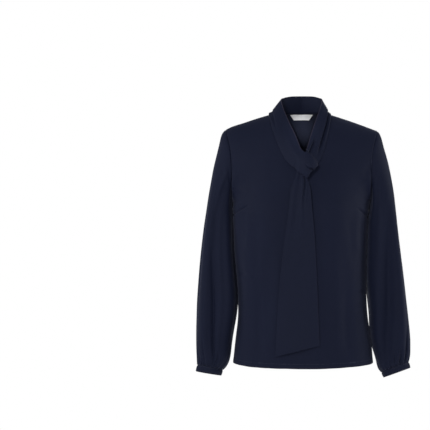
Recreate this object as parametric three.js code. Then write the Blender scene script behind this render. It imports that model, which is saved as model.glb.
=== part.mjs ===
// A long-sleeved tie neck blouse in thin crepe, filled out as it is worn, with no wearer inside.
// Millimetres. +X is the wearer's left, +Y the back and +Z up. The origin lies between the two
// points where the shoulder seams meet the neck, which is where the shoulders carry the blouse.
// Every piece is a thin wall of cloth: rows of points on its outer face, and the same rows moved in.
import * as THREE from "three";

// Cloth and seams
const CLOTH = 1.2; // single crepe
const DOUBLE_CLOTH = 2.0; // folded crepe of the tie collar and the cuffs
const LABEL_CLOTH = 1.0;
const SEAM_GAP = 0.3; // between two pieces that are sewn together
const HALF_GAP = SEAM_GAP / 2;

// Shoulders, neck and hem
const NECK = { right: 84, left: 76 }; // from the centre to the neck, along the shoulder seam
const TIP_X = 187; // shoulder tip, where the seam meets the sleeve
const TIP_Z = -39.5;
const NECK_SEAM_Y = 8; // how far back the shoulder seam lies at the neck
const TIP_SEAM_Y = 4;
const BACK_NECK_RISE = 13.5; // the neck seam's height at the centre back
const V_DEPTH = 141;
const V_X = 8; // the knot pulls the bottom of the V towards the wearer's left
const V_BEND = { right: 2.6, left: 3.2 };
const UNDERARM_Z = -215;
const HEM_SIDE_Z = -616;
const HEM_DIP = { front: 3, back: 3 };
const SHOULDER_ROUND = { front: 110, back: 78 }; // height over which a face rolls to the seam
const NECK_BLEND = 70; // either side of the centre, where the two neck widths pass into each other

// The body's outline by height: half width, how far the front and the back stand from the side
// seams, and how far the filled body swings to one side
const TORSO = [
  { z: -640, side: 176, front: 121, back: 124, swing: 4 },
  { z: -616, side: 174.3, front: 121, back: 123, swing: 3.8 },
  { z: -560, side: 169, front: 120, back: 118, swing: 4.5 },
  { z: -500, side: 161.5, front: 119, back: 108, swing: 3.3 },
  { z: -430, side: 160.6, front: 119, back: 99, swing: 0.6 },
  { z: -340, side: 164.9, front: 121, back: 98, swing: -2.6 },
  { z: -245, side: 168.6, front: 121, back: 106, swing: -2.6 },
  { z: -215, side: 171, front: 116, back: 109, swing: 0 },
  { z: -170, side: 172.5, front: 103, back: 111, swing: 0 },
  { z: -125, side: 175, front: 88, back: 110, swing: 0 },
  { z: -90, side: 179, front: 78, back: 108, swing: 0 },
  { z: -62, side: 184, front: 72, back: 106, swing: 0 },
  { z: -39.5, side: TIP_X, front: 68, back: 104, swing: 0 },
  { z: 0, side: TIP_X, front: 62, back: 102, swing: 0 },
  { z: 40, side: TIP_X, front: 60, back: 100, swing: 0 },
];
const ROUNDNESS = { front: 2.35, back: 2.25 }; // 2 is an ellipse, more is squarer
const ARMHOLE_DEPTH = { front: 60, back: 70 };
const ARMHOLE_CORNER = { underarm: 24, above: 8 }; // how sharply a face turns out to the armhole
const ARMHOLE_TOP = 8; // the armhole's depth stops changing this far below the shoulder tip
const CHEST_RISE = 90; // above the underarm, where the round body turns into the flatter chest

// Bust shaping and soft folds that hang in the body: where, how wide, how far they stand out
const BUST = { x: 92, z: -250, wide: 46, above: 60, below: 210, out: 9 };
const BODY_FOLDS = [
  { face: "front", x: -124, lean: -4, top: -235, end: -590, wide: 15, out: 4.5 },
  { face: "front", x: 128, lean: 6, top: -235, end: -600, wide: 15, out: 4.5 },
  { face: "front", x: -146, lean: 0, top: -235, end: -470, wide: 9, out: -3.0 },
  { face: "front", x: 149, lean: 4, top: -240, end: -480, wide: 9, out: -3.0 },
  { face: "back", x: -92, lean: -14, top: -170, end: -610, wide: 20, out: 5.0 },
  { face: "back", x: 84, lean: 18, top: -190, end: -600, wide: 18, out: 4.5 },
  { face: "back", x: -30, lean: -8, top: -330, end: -615, wide: 22, out: 3.5 },
  { face: "back", x: 44, lean: 4, top: -360, end: -615, wide: 16, out: -3.0 },
];

// Grid steps of a body panel
const NECK_STEPS = { front: [8, 6], back: [5, 5] };
const SHOULDER_STEPS = 8;
const LOWER_ROWS = 10;
const UPPER_ROWS = 12;
const NECK_CROWDING = 1.7; // the neck's columns crowd towards the shoulder seam

const clamp = THREE.MathUtils.clamp;
const mix = THREE.MathUtils.lerp;
const vec = (x, y, z) => new THREE.Vector3(x, y, z);
const smooth = (t) => THREE.MathUtils.smoothstep(t, 0, 1);
const hump = (t) => Math.exp(-t * t);

// A smooth curve through one column of a table, read at any key value
function column(table, key, name) {
  const slope = (i) => {
    const a = table[Math.max(i - 1, 0)];
    const b = table[Math.min(i + 1, table.length - 1)];
    return (b[name] - a[name]) / (b[key] - a[key]);
  };
  return (at) => {
    let i = 0;
    while (i < table.length - 2 && at > table[i + 1][key]) i += 1;
    const [p, q] = [table[i], table[i + 1]];
    const step = q[key] - p[key];
    const t = clamp((at - p[key]) / step, 0, 1);
    const [t2, t3] = [t * t, t * t * t];
    return (
      p[name] * (2 * t3 - 3 * t2 + 1) +
      slope(i) * step * (t3 - 2 * t2 + t) +
      q[name] * (3 * t2 - 2 * t3) +
      slope(i + 1) * step * (t3 - t2)
    );
  };
}

// A closed wall of cloth from rows of points on its outer face. A ring's rows close on themselves.
// Where a point has a seam direction of its own, the wall's edge there follows it.
function clothWall(rows, thickness, ring = false) {
  const high = rows.length;
  const wide = rows[0].length;
  const at = (r, c) =>
    rows[clamp(r, 0, high - 1)][ring ? (c + wide) % wide : clamp(c, 0, wide - 1)];
  const outer = [];
  const inner = [];
  for (let r = 0; r < high; r += 1) {
    for (let c = 0; c < wide; c += 1) {
      const across = at(r, c + 1).clone().sub(at(r, c - 1));
      const up = at(r + 1, c).clone().sub(at(r - 1, c));
      const normal = across.cross(up).normalize();
      if (at(r, c).seamNormal) normal.copy(at(r, c).seamNormal);
      if (at(r, c).seamPlane) normal.projectOnPlane(at(r, c).seamPlane).normalize();
      outer.push(at(r, c));
      inner.push(at(r, c).clone().addScaledVector(normal, -thickness));
    }
  }
  const index = [];
  const quad = (a, b, c, d) => index.push(a, b, c, a, c, d);
  const id = (r, c) => r * wide + (c % wide);
  const back = outer.length;
  const spans = ring ? wide : wide - 1;
  for (let r = 0; r < high - 1; r += 1) {
    for (let c = 0; c < spans; c += 1) {
      const corners = [id(r, c), id(r, c + 1), id(r + 1, c + 1), id(r + 1, c)];
      quad(...corners);
      quad(...corners.map((i) => i + back).reverse());
    }
  }
  for (let c = 0; c < spans; c += 1) {
    const [a, b] = [id(0, c), id(0, c + 1)];
    quad(b, a, a + back, b + back);
    const [e, f] = [id(high - 1, c), id(high - 1, c + 1)];
    quad(e, f, f + back, e + back);
  }
  for (let r = 0; r < high - 1 && !ring; r += 1) {
    const [a, b] = [id(r, 0), id(r + 1, 0)];
    quad(a, b, b + back, a + back);
    const [e, f] = [id(r, wide - 1), id(r + 1, wide - 1)];
    quad(f, e, e + back, f + back);
  }
  return new THREE.BufferGeometry().setFromPoints([...outer, ...inner]).setIndex(index);
}

const flipped = (rows) => rows.map((row) => row.slice().reverse());

const sideAt = column(TORSO, "z", "side");
const swingAt = column(TORSO, "z", "swing");
const depthAt = { front: column(TORSO, "z", "front"), back: column(TORSO, "z", "back") };
const facing = { front: -1, back: 1 };

const neckX = (x) => mix(NECK.right, NECK.left, smooth((x + NECK_BLEND) / (2 * NECK_BLEND)));
const shoulderShare = (x) => (Math.abs(x) - neckX(x)) / (TIP_X - neckX(x));
const shoulderLine = (x) => TIP_Z * shoulderShare(x);

// The seam plane between front and back: at the side seam below, at the shoulder seam above
function seamY(x, z) {
  const shoulder = mix(NECK_SEAM_Y, TIP_SEAM_Y, clamp(shoulderShare(x), 0, 1));
  return shoulder * smooth((z - UNDERARM_Z) / (TIP_Z - UNDERARM_Z));
}

// Height of the neckline at x: a V at the front, a shallow curve at the back
function necklineZ(face, x) {
  if (face === "back") return BACK_NECK_RISE * (1 - (x / neckX(x)) ** 2);
  const reach = Math.abs(x - V_X) / (neckX(x - V_X) + (x < V_X ? V_X : -V_X));
  return -V_DEPTH * (1 - reach ** (x < V_X ? V_BEND.right : V_BEND.left));
}

// How much of its depth a face has kept by height z, where it rolls over to the shoulder seam
function shoulderRoll(face, x, z) {
  const drop = clamp((shoulderLine(x) - z) / SHOULDER_ROUND[face], 0, 1);
  return Math.sqrt(1 - (1 - drop) ** 2);
}

// How far the armhole's edge stands out in front of or behind the arm, before the roll
function armholeOut(face, z) {
  const high = Math.min(z, TIP_Z - ARMHOLE_TOP);
  const share = clamp((high - UNDERARM_Z) / (TIP_Z - UNDERARM_Z), 0, 1);
  return (ARMHOLE_DEPTH[face] * 2 * Math.sqrt(share * (1 - share))) / shoulderRoll(face, TIP_X, high);
}

// The body's outer face: y at height z, u of the way from the centre line to the side or armhole
function bodyY(face, u, z, folds = true) {
  const x = u * sideAt(z);
  const seam = seamY(x, z);
  const power = ROUNDNESS[face];
  const bow = (1 - Math.abs(u) ** power) ** (1 / power);
  const above = smooth((z - UNDERARM_Z) / CHEST_RISE);
  const corner = Math.abs(u) ** mix(ARMHOLE_CORNER.underarm, ARMHOLE_CORNER.above, above);
  const edge = armholeOut(face, z);
  const centre = depthAt[face](z) - facing[face] * seam;
  const filled = centre * bow + edge * corner;
  const flat = mix(centre, edge, Math.abs(u) ** 3);
  let out = 0;
  if (face === "front") {
    const tall = z < BUST.z ? BUST.below : BUST.above;
    out += BUST.out * hump((Math.abs(x) - BUST.x) / BUST.wide) * hump((z - BUST.z) / tall);
  }
  for (const fold of folds ? BODY_FOLDS : []) {
    if (fold.face !== face || z > fold.top) continue;
    const down = clamp((z - fold.top) / (fold.end - fold.top), 0, 1);
    const strength = Math.sin(Math.PI * Math.min(down * 0.85 + 0.02, 1)) * smooth(bow * 3);
    out += fold.out * strength * hump((x - fold.x - fold.lean * down) / fold.wide);
  }
  const depth = mix(filled, flat, above) + out;
  return seam + facing[face] * (HALF_GAP + depth * shoulderRoll(face, x, z));
}

function bodyPoint(face, u, z, folds = true) {
  return vec(u * sideAt(z) + swingAt(z), bodyY(face, u, z, folds), z);
}

// Columns of a panel from the wearer's right to left: u, and the height of the panel's top edge
function panelColumns(face) {
  const [rightSteps, leftSteps] = NECK_STEPS[face];
  const low = face === "front" ? V_X : 0;
  const crowd = face === "front" ? NECK_CROWDING : 1;
  const reach = (i, steps) => 1 - (1 - i / steps) ** crowd;
  const neck = [];
  for (let i = rightSteps; i >= 0; i -= 1) neck.push(mix(low, -NECK.right, reach(i, rightSteps)));
  for (let i = 1; i <= leftSteps; i += 1) neck.push(mix(low, NECK.left, reach(i, leftSteps)));
  const columns = neck.map((x) => {
    const top = necklineZ(face, x);
    return { u: (x - swingAt(top)) / sideAt(top), top };
  });
  for (let i = 1; i <= SHOULDER_STEPS; i += 1) {
    for (const sign of [1, -1]) {
      const first = Math.asin(neckX(sign) / TIP_X);
      const u = Math.sin(mix(first, Math.PI / 2, i / SHOULDER_STEPS));
      const column = { u: sign * u, top: shoulderLine(sign * u * TIP_X) };
      if (sign > 0) columns.push(column);
      else columns.unshift(column);
    }
  }
  return columns;
}

const SIDE_SEAM = vec(0, 1, 0); // the side and shoulder seams lie in planes across the body
const armholeSeam = (sign, z) => vec(sign, 0, sideAt(z - 1) - sideAt(z + 1)).normalize();

function panelRows(face) {
  const columns = panelColumns(face);
  const last = columns.length - 1;
  const rows = [];
  for (let r = 0; r <= LOWER_ROWS + UPPER_ROWS; r += 1) {
    rows.push(
      columns.map(({ u, top }, c) => {
        const hem = HEM_SIDE_Z - HEM_DIP[face] * (1 - u * u);
        const lift = (1 - Math.cos((Math.PI * (r - LOWER_ROWS)) / UPPER_ROWS)) / 2;
        const z = r <= LOWER_ROWS ? mix(hem, UNDERARM_Z, r / LOWER_ROWS) : mix(UNDERARM_Z, top, lift);
        const point = bodyPoint(face, u, z);
        const atSide = c === 0 || c === last;
        const atShoulder = r === LOWER_ROWS + UPPER_ROWS && shoulderShare(point.x) > -1e-4;
        if (atSide && r > LOWER_ROWS) point.seamPlane = armholeSeam(Math.sign(u), z);
        if ((atSide && r <= LOWER_ROWS) || atShoulder) point.seamPlane = SIDE_SEAM;
        return point;
      }),
    );
  }
  return face === "front" ? rows : rows.map((row) => row.reverse());
}

// The neckline of a panel from -X to +X: each point, the way out of the cloth there, and the way
// on past its edge
function necklineFrames(face) {
  const rows = panelRows(face).map((row) => (face === "front" ? row : row.slice().reverse()));
  const top = rows.at(-1);
  const frames = [];
  for (let c = SHOULDER_STEPS; c < top.length - SHOULDER_STEPS; c += 1) {
    const along = top[c + 1].clone().sub(top[c - 1]);
    const up = top[c].clone().sub(rows.at(-2)[c]);
    const out = along.clone().cross(up).multiplyScalar(-facing[face]).normalize();
    const on = along.clone().cross(out).normalize();
    if (on.dot(up) < 0) on.negate();
    frames.push({ at: top[c], out, on });
  }
  return frames;
}

// Sleeves. Each ring runs round from the outside of the arm (0), by the front, to the inside.
const RING_STEPS = 42;
const GATHERS = 14;
const SLEEVE_TOP = { outX: TIP_X, outZ: TIP_Z, inX: 171, inZ: UNDERARM_Z, deep: 65, y: 4, lift: 0 };
const SLEEVES = {
  right: [
    SLEEVE_TOP,
    { outX: 194, outZ: -45, inX: 171.5, inZ: -216, deep: 65, y: 4, lift: 0 },
    { outX: 200, outZ: -56, inX: 171.5, inZ: -218, deep: 64.5, y: 4, lift: 0 },
    { outX: 205.5, outZ: -76, inX: 171.5, inZ: -221, deep: 63.5, y: 3, lift: 0 },
    { outX: 212, outZ: -103, inX: 171.5, inZ: -225, deep: 62, y: 3, lift: 0 },
    { outX: 219, outZ: -134, inX: 171.3, inZ: -230, deep: 60, y: 2, lift: 0 },
    { outX: 225.5, outZ: -170, inX: 171.4, inZ: -238, deep: 59, y: 2, lift: 0 },
    { outX: 232, outZ: -208, inX: 171.2, inZ: -250, deep: 58, y: 1, lift: 0 },
    { outX: 239, outZ: -253, inX: 170.6, inZ: -272, deep: 57, y: 0, lift: 0 },
    { outX: 246, outZ: -303, inX: 169.3, inZ: -308, deep: 57, y: -2, lift: 0 },
    { outX: 251.5, outZ: -352, inX: 166.8, inZ: -352, deep: 57, y: -4, lift: 0 },
    { outX: 255.5, outZ: -402, inX: 162.3, inZ: -402, deep: 57, y: -6, lift: 0 },
    { outX: 258.5, outZ: -450, inX: 159.2, inZ: -450, deep: 57, y: -8, lift: 0 },
    { outX: 260, outZ: -496, inX: 162.6, inZ: -498, deep: 56, y: -10, lift: 0 },
    { outX: 260.2, outZ: -535, inX: 168.6, inZ: -538, deep: 54, y: -12, lift: 1 },
    { outX: 260, outZ: -566, inX: 173.5, inZ: -571, deep: 51, y: -13, lift: 2 },
    { outX: 259, outZ: -588, inX: 176.5, inZ: -596, deep: 47, y: -14, lift: 3 },
    { outX: 258, outZ: -604, inX: 181, inZ: -614, deep: 42, y: -15, lift: 4 },
    { outX: 257.5, outZ: -615, inX: 188, inZ: -627, deep: 36.5, y: -16, lift: 5 },
    { outX: 257.5, outZ: -622, inX: 195, inZ: -634, deep: 33, y: -16, lift: 6 },
  ],
  left: [
    SLEEVE_TOP,
    { outX: 192.5, outZ: -46, inX: 171.4, inZ: -216, deep: 65, y: 4, lift: 0 },
    { outX: 197.5, outZ: -60, inX: 171.2, inZ: -218, deep: 64.5, y: 4, lift: 0 },
    { outX: 203, outZ: -80, inX: 170.7, inZ: -221, deep: 63.5, y: 3, lift: 0 },
    { outX: 210, outZ: -106, inX: 170, inZ: -225, deep: 62, y: 3, lift: 0 },
    { outX: 217, outZ: -137, inX: 169.2, inZ: -230, deep: 60, y: 2, lift: 0 },
    { outX: 223.5, outZ: -170, inX: 168.1, inZ: -238, deep: 59, y: 2, lift: 0 },
    { outX: 229.5, outZ: -206, inX: 166.2, inZ: -250, deep: 58, y: 1, lift: 0 },
    { outX: 235.5, outZ: -252, inX: 164.6, inZ: -272, deep: 58, y: 0, lift: 0 },
    { outX: 242, outZ: -300, inX: 163.4, inZ: -304, deep: 58, y: -2, lift: 0 },
    { outX: 249, outZ: -348, inX: 162.1, inZ: -352, deep: 58, y: -4, lift: 0 },
    { outX: 256, outZ: -396, inX: 161.3, inZ: -398, deep: 58, y: -6, lift: 0 },
    { outX: 261.5, outZ: -444, inX: 164.8, inZ: -446, deep: 58, y: -8, lift: 0 },
    { outX: 266, outZ: -490, inX: 168.8, inZ: -494, deep: 57, y: -10, lift: 0 },
    { outX: 269, outZ: -528, inX: 171, inZ: -536, deep: 55, y: -12, lift: 1 },
    { outX: 269.8, outZ: -558, inX: 176, inZ: -570, deep: 52, y: -13, lift: 2 },
    { outX: 269.6, outZ: -580, inX: 183, inZ: -598, deep: 48, y: -14, lift: 3 },
    { outX: 268.5, outZ: -597, inX: 187, inZ: -618, deep: 43, y: -15, lift: 4 },
    { outX: 266.5, outZ: -608, inX: 191.5, inZ: -632, deep: 37, y: -16, lift: 5 },
    { outX: 265, outZ: -615, inX: 198, inZ: -640, deep: 33, y: -16, lift: 6 },
  ],
};
const CUFFS = {
  right: { outX: 262, outZ: -638.5, inX: 199, inZ: -649, deep: 33, y: -17, lift: 6 },
  left: { outX: 270, outZ: -630, inX: 203.5, inZ: -654, deep: 33, y: -17, lift: 6 },
};
const CUFF_STEPS = 2;
// Long soft folds: the angle round the ring in degrees, top and bottom, and the rings they span
const SLEEVE_FOLDS = {
  right: [
    { top: 118, bottom: 104, from: 1, to: 9, wide: 16, out: -5 },
    { top: 84, bottom: 80, from: 7, to: 17, wide: 15, out: -6 },
    { top: 52, bottom: 50, from: 4, to: 16, wide: 13, out: -3 },
    { top: 262, bottom: 256, from: 2, to: 16, wide: 18, out: -6 },
    { top: 310, bottom: 318, from: 6, to: 17, wide: 14, out: -4 },
  ],
  left: [
    { top: 116, bottom: 106, from: 1, to: 8, wide: 16, out: -5 },
    { top: 100, bottom: 122, from: 6, to: 17, wide: 14, out: -6 },
    { top: 84, bottom: 92, from: 5, to: 15, wide: 10, out: -3.5 },
    { top: 50, bottom: 56, from: 8, to: 17, wide: 12, out: -4.5 },
    { top: 270, bottom: 262, from: 2, to: 16, wide: 18, out: -6 },
    { top: 312, bottom: 320, from: 6, to: 17, wide: 14, out: -4 },
  ],
};
const GATHER = { from: 11, deep: 2.6 };
const ARMHOLE_RINGS = 7; // over these the armhole's shape passes into the round sleeve

const turnDistance = (a, b) => {
  const apart = (((a - b) % 360) + 540) % 360 - 180;
  return Math.abs(apart);
};

// A ring point of the armhole, just outside the body's edge
function armholePoint(sign, angle) {
  const z = mix(UNDERARM_Z, TIP_Z, (1 + Math.cos(angle)) / 2);
  const face = Math.sin(angle) >= 0 ? "front" : "back";
  const y = Math.abs(Math.sin(angle)) < 1e-6 ? seamY(TIP_X, z) : bodyY(face, 1, z);
  const point = vec(sign * sideAt(z), y, z);
  return point.addScaledVector(armholeSeam(sign, z), 1.5 * SEAM_GAP);
}

function ringPoint(sign, ring, angle) {
  const along = (1 + Math.cos(angle)) / 2;
  const x = mix(ring.inX, ring.outX, along);
  const z = mix(ring.inZ, ring.outZ, along);
  const round = Math.sin(angle);
  return vec(sign * (x + SEAM_GAP), ring.y - ring.deep * round, z + ring.lift * round);
}

function sleeveRows(name) {
  const sign = name === "right" ? -1 : 1;
  const rings = SLEEVES[name];
  const last = rings.length - 1;
  return rings.map((ring, r) => {
    const row = [];
    for (let s = 0; s < RING_STEPS; s += 1) {
      const angle = (2 * Math.PI * s) / RING_STEPS;
      const degrees = (360 * s) / RING_STEPS;
      const point = ringPoint(sign, ring, angle);
      const fade = 1 - smooth(r / ARMHOLE_RINGS);
      const shift = armholePoint(sign, angle).sub(ringPoint(sign, rings[0], angle));
      point.addScaledVector(shift, fade);
      const centre = vec((sign * (ring.inX + ring.outX)) / 2, ring.y, (ring.inZ + ring.outZ) / 2);
      let out = 0;
      for (const fold of SLEEVE_FOLDS[name]) {
        const down = (r - fold.from) / (fold.to - fold.from);
        if (down <= 0 || down >= 1) continue;
        const off = turnDistance(degrees, mix(fold.top, fold.bottom, down));
        out += fold.out * Math.sin(Math.PI * down) * hump(off / fold.wide);
      }
      const gathered = smooth((r - GATHER.from) / (last - GATHER.from));
      out += GATHER.deep * gathered * Math.cos(GATHERS * angle);
      const outward = point.clone().sub(centre).normalize();
      point.addScaledVector(outward, out);
      if (r === 0) point.seamPlane = armholeSeam(sign, point.z);
      row.push(point);
    }
    return sign > 0 ? row.reverse() : row;
  }).reverse();
}

function cuffRows(name) {
  const sign = name === "right" ? -1 : 1;
  const top = SLEEVES[name].at(-1);
  const bottom = CUFFS[name];
  const drop = Math.hypot(top.outX - bottom.outX, top.outZ - bottom.outZ);
  const rows = [];
  for (let r = 0; r <= CUFF_STEPS; r += 1) {
    const down = mix((2 * SEAM_GAP) / drop, 1, r / CUFF_STEPS);
    const ring = {};
    for (const key of Object.keys(top)) ring[key] = mix(top[key], bottom[key], down);
    const row = [];
    for (let s = 0; s < RING_STEPS; s += 1) {
      row.push(ringPoint(sign, ring, (2 * Math.PI * s) / RING_STEPS));
    }
    rows.push(sign > 0 ? row.reverse() : row);
  }
  return rows.reverse();
}

// The tie collar: two bands, joined at the centre back and sewn to the neckline down to the V,
// then tied. The wearer's right band wraps over the left one, whose end hangs down the front.
const TIE_STEPS_ACROSS = { right: 8, left: 12 };
const KNOT_REACH = 120; // below the knot, where the folds of the hanging end have spread out
const FREE_EDGE = {
  right: [
    { t: 0, x: 0, y: 59, z: 55 },
    { t: 0.12, x: -29, y: 52.5, z: 53 },
    { t: 0.25, x: -46, y: 34, z: 47 },
    { t: 0.37, x: -51.5, y: 8, z: 39 },
    { t: 0.5, x: -46, y: -20, z: 17 },
    { t: 0.66, x: -32, y: -42, z: -18 },
    { t: 0.83, x: -15, y: -66, z: -56 },
    { t: 1, x: -2, y: -90, z: -88 },
  ],
  left: [
    { t: 0, x: 0, y: 59, z: 55 },
    { t: 0.12, x: 29, y: 52.5, z: 53 },
    { t: 0.25, x: 46, y: 34, z: 47 },
    { t: 0.37, x: 52, y: 8, z: 39 },
    { t: 0.5, x: 47, y: -20, z: 17 },
    { t: 0.7, x: 34, y: -42, z: -20 },
    { t: 0.86, x: 22, y: -62, z: -58 },
    { t: 1, x: 13, y: -84, z: -90 },
  ],
};
const SEWN_TO = { right: -17, left: 42 }; // x on the V where each band leaves the neckline
const BAND_BULGE = { right: 5, left: 4 };
// Folds along a band: place across it, from the sewn edge, where along the sewn stretch they
// begin, and how far they stand out
const BAND_FOLDS = {
  right: [{ at: 0.3, wide: 0.1, out: 1.2, from: 0.25, to: 0.6 }],
  left: [
    { at: 0.22, wide: 0.07, out: -4, from: 0.35, to: 0.65 },
    { at: 0.38, wide: 0.09, out: 1.5, from: 0.35, to: 0.65 },
    { at: 0.6, wide: 0.08, out: -4, from: 0.78, to: 1 },
    { at: 0.78, wide: 0.1, out: 1.5, from: 0.7, to: 1 },
  ],
};
// After the neckline: the band's lower and upper edge as it is tied
const TIED_RIGHT = [
  { low: [-9, -110, -143], high: [6, -104, -101], bulge: 5, pleat: 0 },
  { low: [3, -113.5, -153], high: [14, -106.5, -103], bulge: 5, pleat: 0.8 },
  { low: [13, -115, -161], high: [23, -107.5, -107], bulge: 5, pleat: 1.6 },
  { low: [24, -114.5, -155], high: [31, -107, -113], bulge: 4, pleat: 1.6 },
  { low: [33, -110, -147], high: [37, -105, -121], bulge: 2.5, pleat: 1 },
  { low: [41, -102, -139], high: [41.5, -100, -128], bulge: 1, pleat: 0 },
  { low: [39.5, -93.1, -136.5], high: [40, -92.6, -128], bulge: 0, pleat: 0 },
  { low: [31, -93.1, -136], high: [32, -92.6, -127], bulge: 0, pleat: 0 },
];
const THROAT = [
  { low: [38, -97.8, -128], high: [12, -94.5, -97], bulge: 0 },
  { low: [33, -101, -134], high: [4, -100, -109], bulge: 0 },
  { low: [26, -103.8, -146], high: [-6, -103, -127], bulge: 0 },
];
// The hanging ends. A row gives x of the two edges at a height, how far the end stands off the
// front there, and how deep its folds are. Each end is cut off at a slant, from corner to corner.
const FRONT_END = {
  edges: [
    { z: -160, left: 12.5, right: -15, off: 7.6, pleat: 1.4 },
    { z: -176, left: 18, right: -21.5, off: 9.5, pleat: 2.8 },
    { z: -192, left: 21.8, right: -26.5, off: 9.8, pleat: 3.0 },
    { z: -219, left: 23.7, right: -28.5, off: 9.2, pleat: 2.6 },
    { z: -245, left: 26, right: -31, off: 8.4, pleat: 2.0 },
    { z: -290, left: 30.4, right: -37.5, off: 7.2, pleat: 1.2 },
    { z: -359, left: 34.8, right: -46.5, off: 6.3, pleat: 0.5 },
    { z: -451, left: 39, right: -55, off: 6.4, pleat: 0 },
    { z: -590, left: 44.2, right: -62.7, off: 6.4, pleat: 0 },
  ],
  corners: { left: -563, right: -590 },
  steps: { down: 13, across: 12, crowding: 1.3 },
};
const UNDER_END = {
  edges: [
    { z: -166, left: 12, right: -13, off: 3, pleat: 0 },
    { z: -192, left: 17, right: -20, off: 3, pleat: 0 },
    { z: -245, left: 21, right: -26, off: 3, pleat: 0 },
    { z: -359, left: 29, right: -40, off: 3, pleat: 0 },
    { z: -590, left: 38, right: -56, off: 3, pleat: 0 },
  ],
  corners: { left: -548, right: -574 },
  steps: { down: 11, across: 8, crowding: 1.2 },
};
// Folds down the hanging end: place across it at the knot and lower down, width and depth
const END_FOLDS = [
  { top: 0.2, low: 0.4, wide: 0.08, out: -1.4 },
  { top: 0.36, low: 0.56, wide: 0.1, out: 1 },
  { top: 0.6, low: 0.74, wide: 0.08, out: -1 },
  { top: 0.8, low: 0.88, wide: 0.09, out: 0.6 },
];
const PLEATS = 2.5; // waves across the wrapped band
const SEWN_OFF = 3.4 * SEAM_GAP; // from the neckline's edge to the band's

// Sewn stretch of a band: the neckline from the centre back to where the band is tied
function sewnNeckline(name) {
  const sign = name === "right" ? -1 : 1;
  const back = necklineFrames("back").filter(({ at }) => at.x * sign > -0.01);
  const beyond = ({ at }) => (sign > 0 ? at.x >= SEWN_TO.left : at.x <= SEWN_TO.right);
  const inside = ({ at }) => shoulderShare(at.x) < -1e-4;
  const front = necklineFrames("front").filter((frame) => beyond(frame) && inside(frame));
  return sign > 0 ? [...back, ...front.reverse()] : [...back.reverse(), ...front];
}

function bandRow(low, high, out, lift, steps) {
  const row = [];
  for (let s = 0; s <= steps; s += 1) {
    const w = s / steps;
    row.push(low.clone().lerp(high, w).addScaledVector(out, lift(w)));
  }
  return row;
}

const arch = (w) => 4 * w * (1 - w);
const calmEdges = (w) => smooth(w * 6) * smooth((1 - w) * 6);

function foldLift(folds, t, w) {
  let lift = 0;
  for (const fold of folds) {
    lift += fold.out * smooth((t - fold.from) / (fold.to - fold.from)) * hump((w - fold.at) / fold.wide);
  }
  return lift * calmEdges(w);
}

function sewnRows(name, steps) {
  const base = sewnNeckline(name);
  const edge = ["x", "y", "z"].map((axis) => column(FREE_EDGE[name], "t", axis));
  const lengths = [0];
  base.slice(1).forEach(({ at }, i) => lengths.push(lengths[i] + at.distanceTo(base[i].at)));
  return base.map(({ at, out, on }, i) => {
    const t = lengths[i] / lengths.at(-1);
    const high = vec(...edge.map((axis) => axis(t)));
    if (i === 0) high.x = name === "right" ? -HALF_GAP : HALF_GAP;
    const low = at.clone();
    if (i === 0) low.x = high.x;
    low.addScaledVector(on, SEWN_OFF);
    const sideways = vec(low.x + high.x, low.y + high.y - 40, 0).normalize();
    const bulge = BAND_BULGE[name] * smooth((t - 0.42) / 0.25);
    const lift = (w) => bulge * arch(w) + foldLift(BAND_FOLDS[name], t, w);
    const row = bandRow(low, high, sideways, lift, steps);
    row[0].seamNormal = out;
    if (i === 0) row.forEach((point) => (point.seamPlane = vec(1, 0, 0)));
    return row;
  });
}

function endRow(end, down) {
  const { edges, corners, steps } = end;
  const read = (name) => column(edges.map((row) => ({ ...row, key: -row.z })), "key", name);
  const top = edges[0].z;
  const leftZ = mix(top, corners.left, down);
  const rightZ = mix(top, corners.right, down);
  const row = [];
  for (let s = 0; s <= steps.across; s += 1) {
    const w = s / steps.across;
    const z = mix(leftZ, rightZ, w);
    const x = mix(read("left")(-z), read("right")(-z), w);
    let wave = 0;
    for (const fold of END_FOLDS) {
      const at = mix(fold.top, fold.low, smooth((top - z) / KNOT_REACH));
      wave += read("pleat")(-z) * fold.out * hump((w - at) / fold.wide);
    }
    const chest = bodyY("front", (x - swingAt(z)) / sideAt(z), z, false);
    row.push(vec(x, chest - read("off")(-z) - wave * calmEdges(w), z));
  }
  return row;
}

function endRows(end) {
  const { down, crowding } = end.steps;
  return Array.from({ length: down + 1 }, (_, r) => endRow(end, (r / down) ** crowding));
}

function tiedRow(tied, name) {
  const lift = (w) => {
    const wave = Math.sin(2 * Math.PI * PLEATS * w) * calmEdges(w);
    const folded = name === "left" ? foldLift(BAND_FOLDS.left, 1, w) : tied.pleat * wave;
    return tied.bulge * arch(w) + folded;
  };
  const steps = TIE_STEPS_ACROSS[name];
  return bandRow(vec(...tied.low), vec(...tied.high), vec(0, -1, 0), lift, steps);
}

const rightBandRows = () => [
  ...sewnRows("right", TIE_STEPS_ACROSS.right),
  ...TIED_RIGHT.map((tied) => tiedRow(tied, "right")),
];

const leftBandRows = () => [
  ...sewnRows("left", TIE_STEPS_ACROSS.left),
  ...THROAT.map((tied) => tiedRow(tied, "left")),
  ...endRows(FRONT_END),
];

// A plain label, folded over at the top and sewn inside the back neck
const LABEL = { top: 30, bottom: 20.5, high: 12.5, z: 11 };

function bodyNormal(face, u, z) {
  const along = bodyPoint(face, u + 0.01, z).sub(bodyPoint(face, u - 0.01, z));
  const up = bodyPoint(face, u, z + 1).sub(bodyPoint(face, u, z - 1));
  return along.cross(up).multiplyScalar(-facing[face]).normalize();
}

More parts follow.
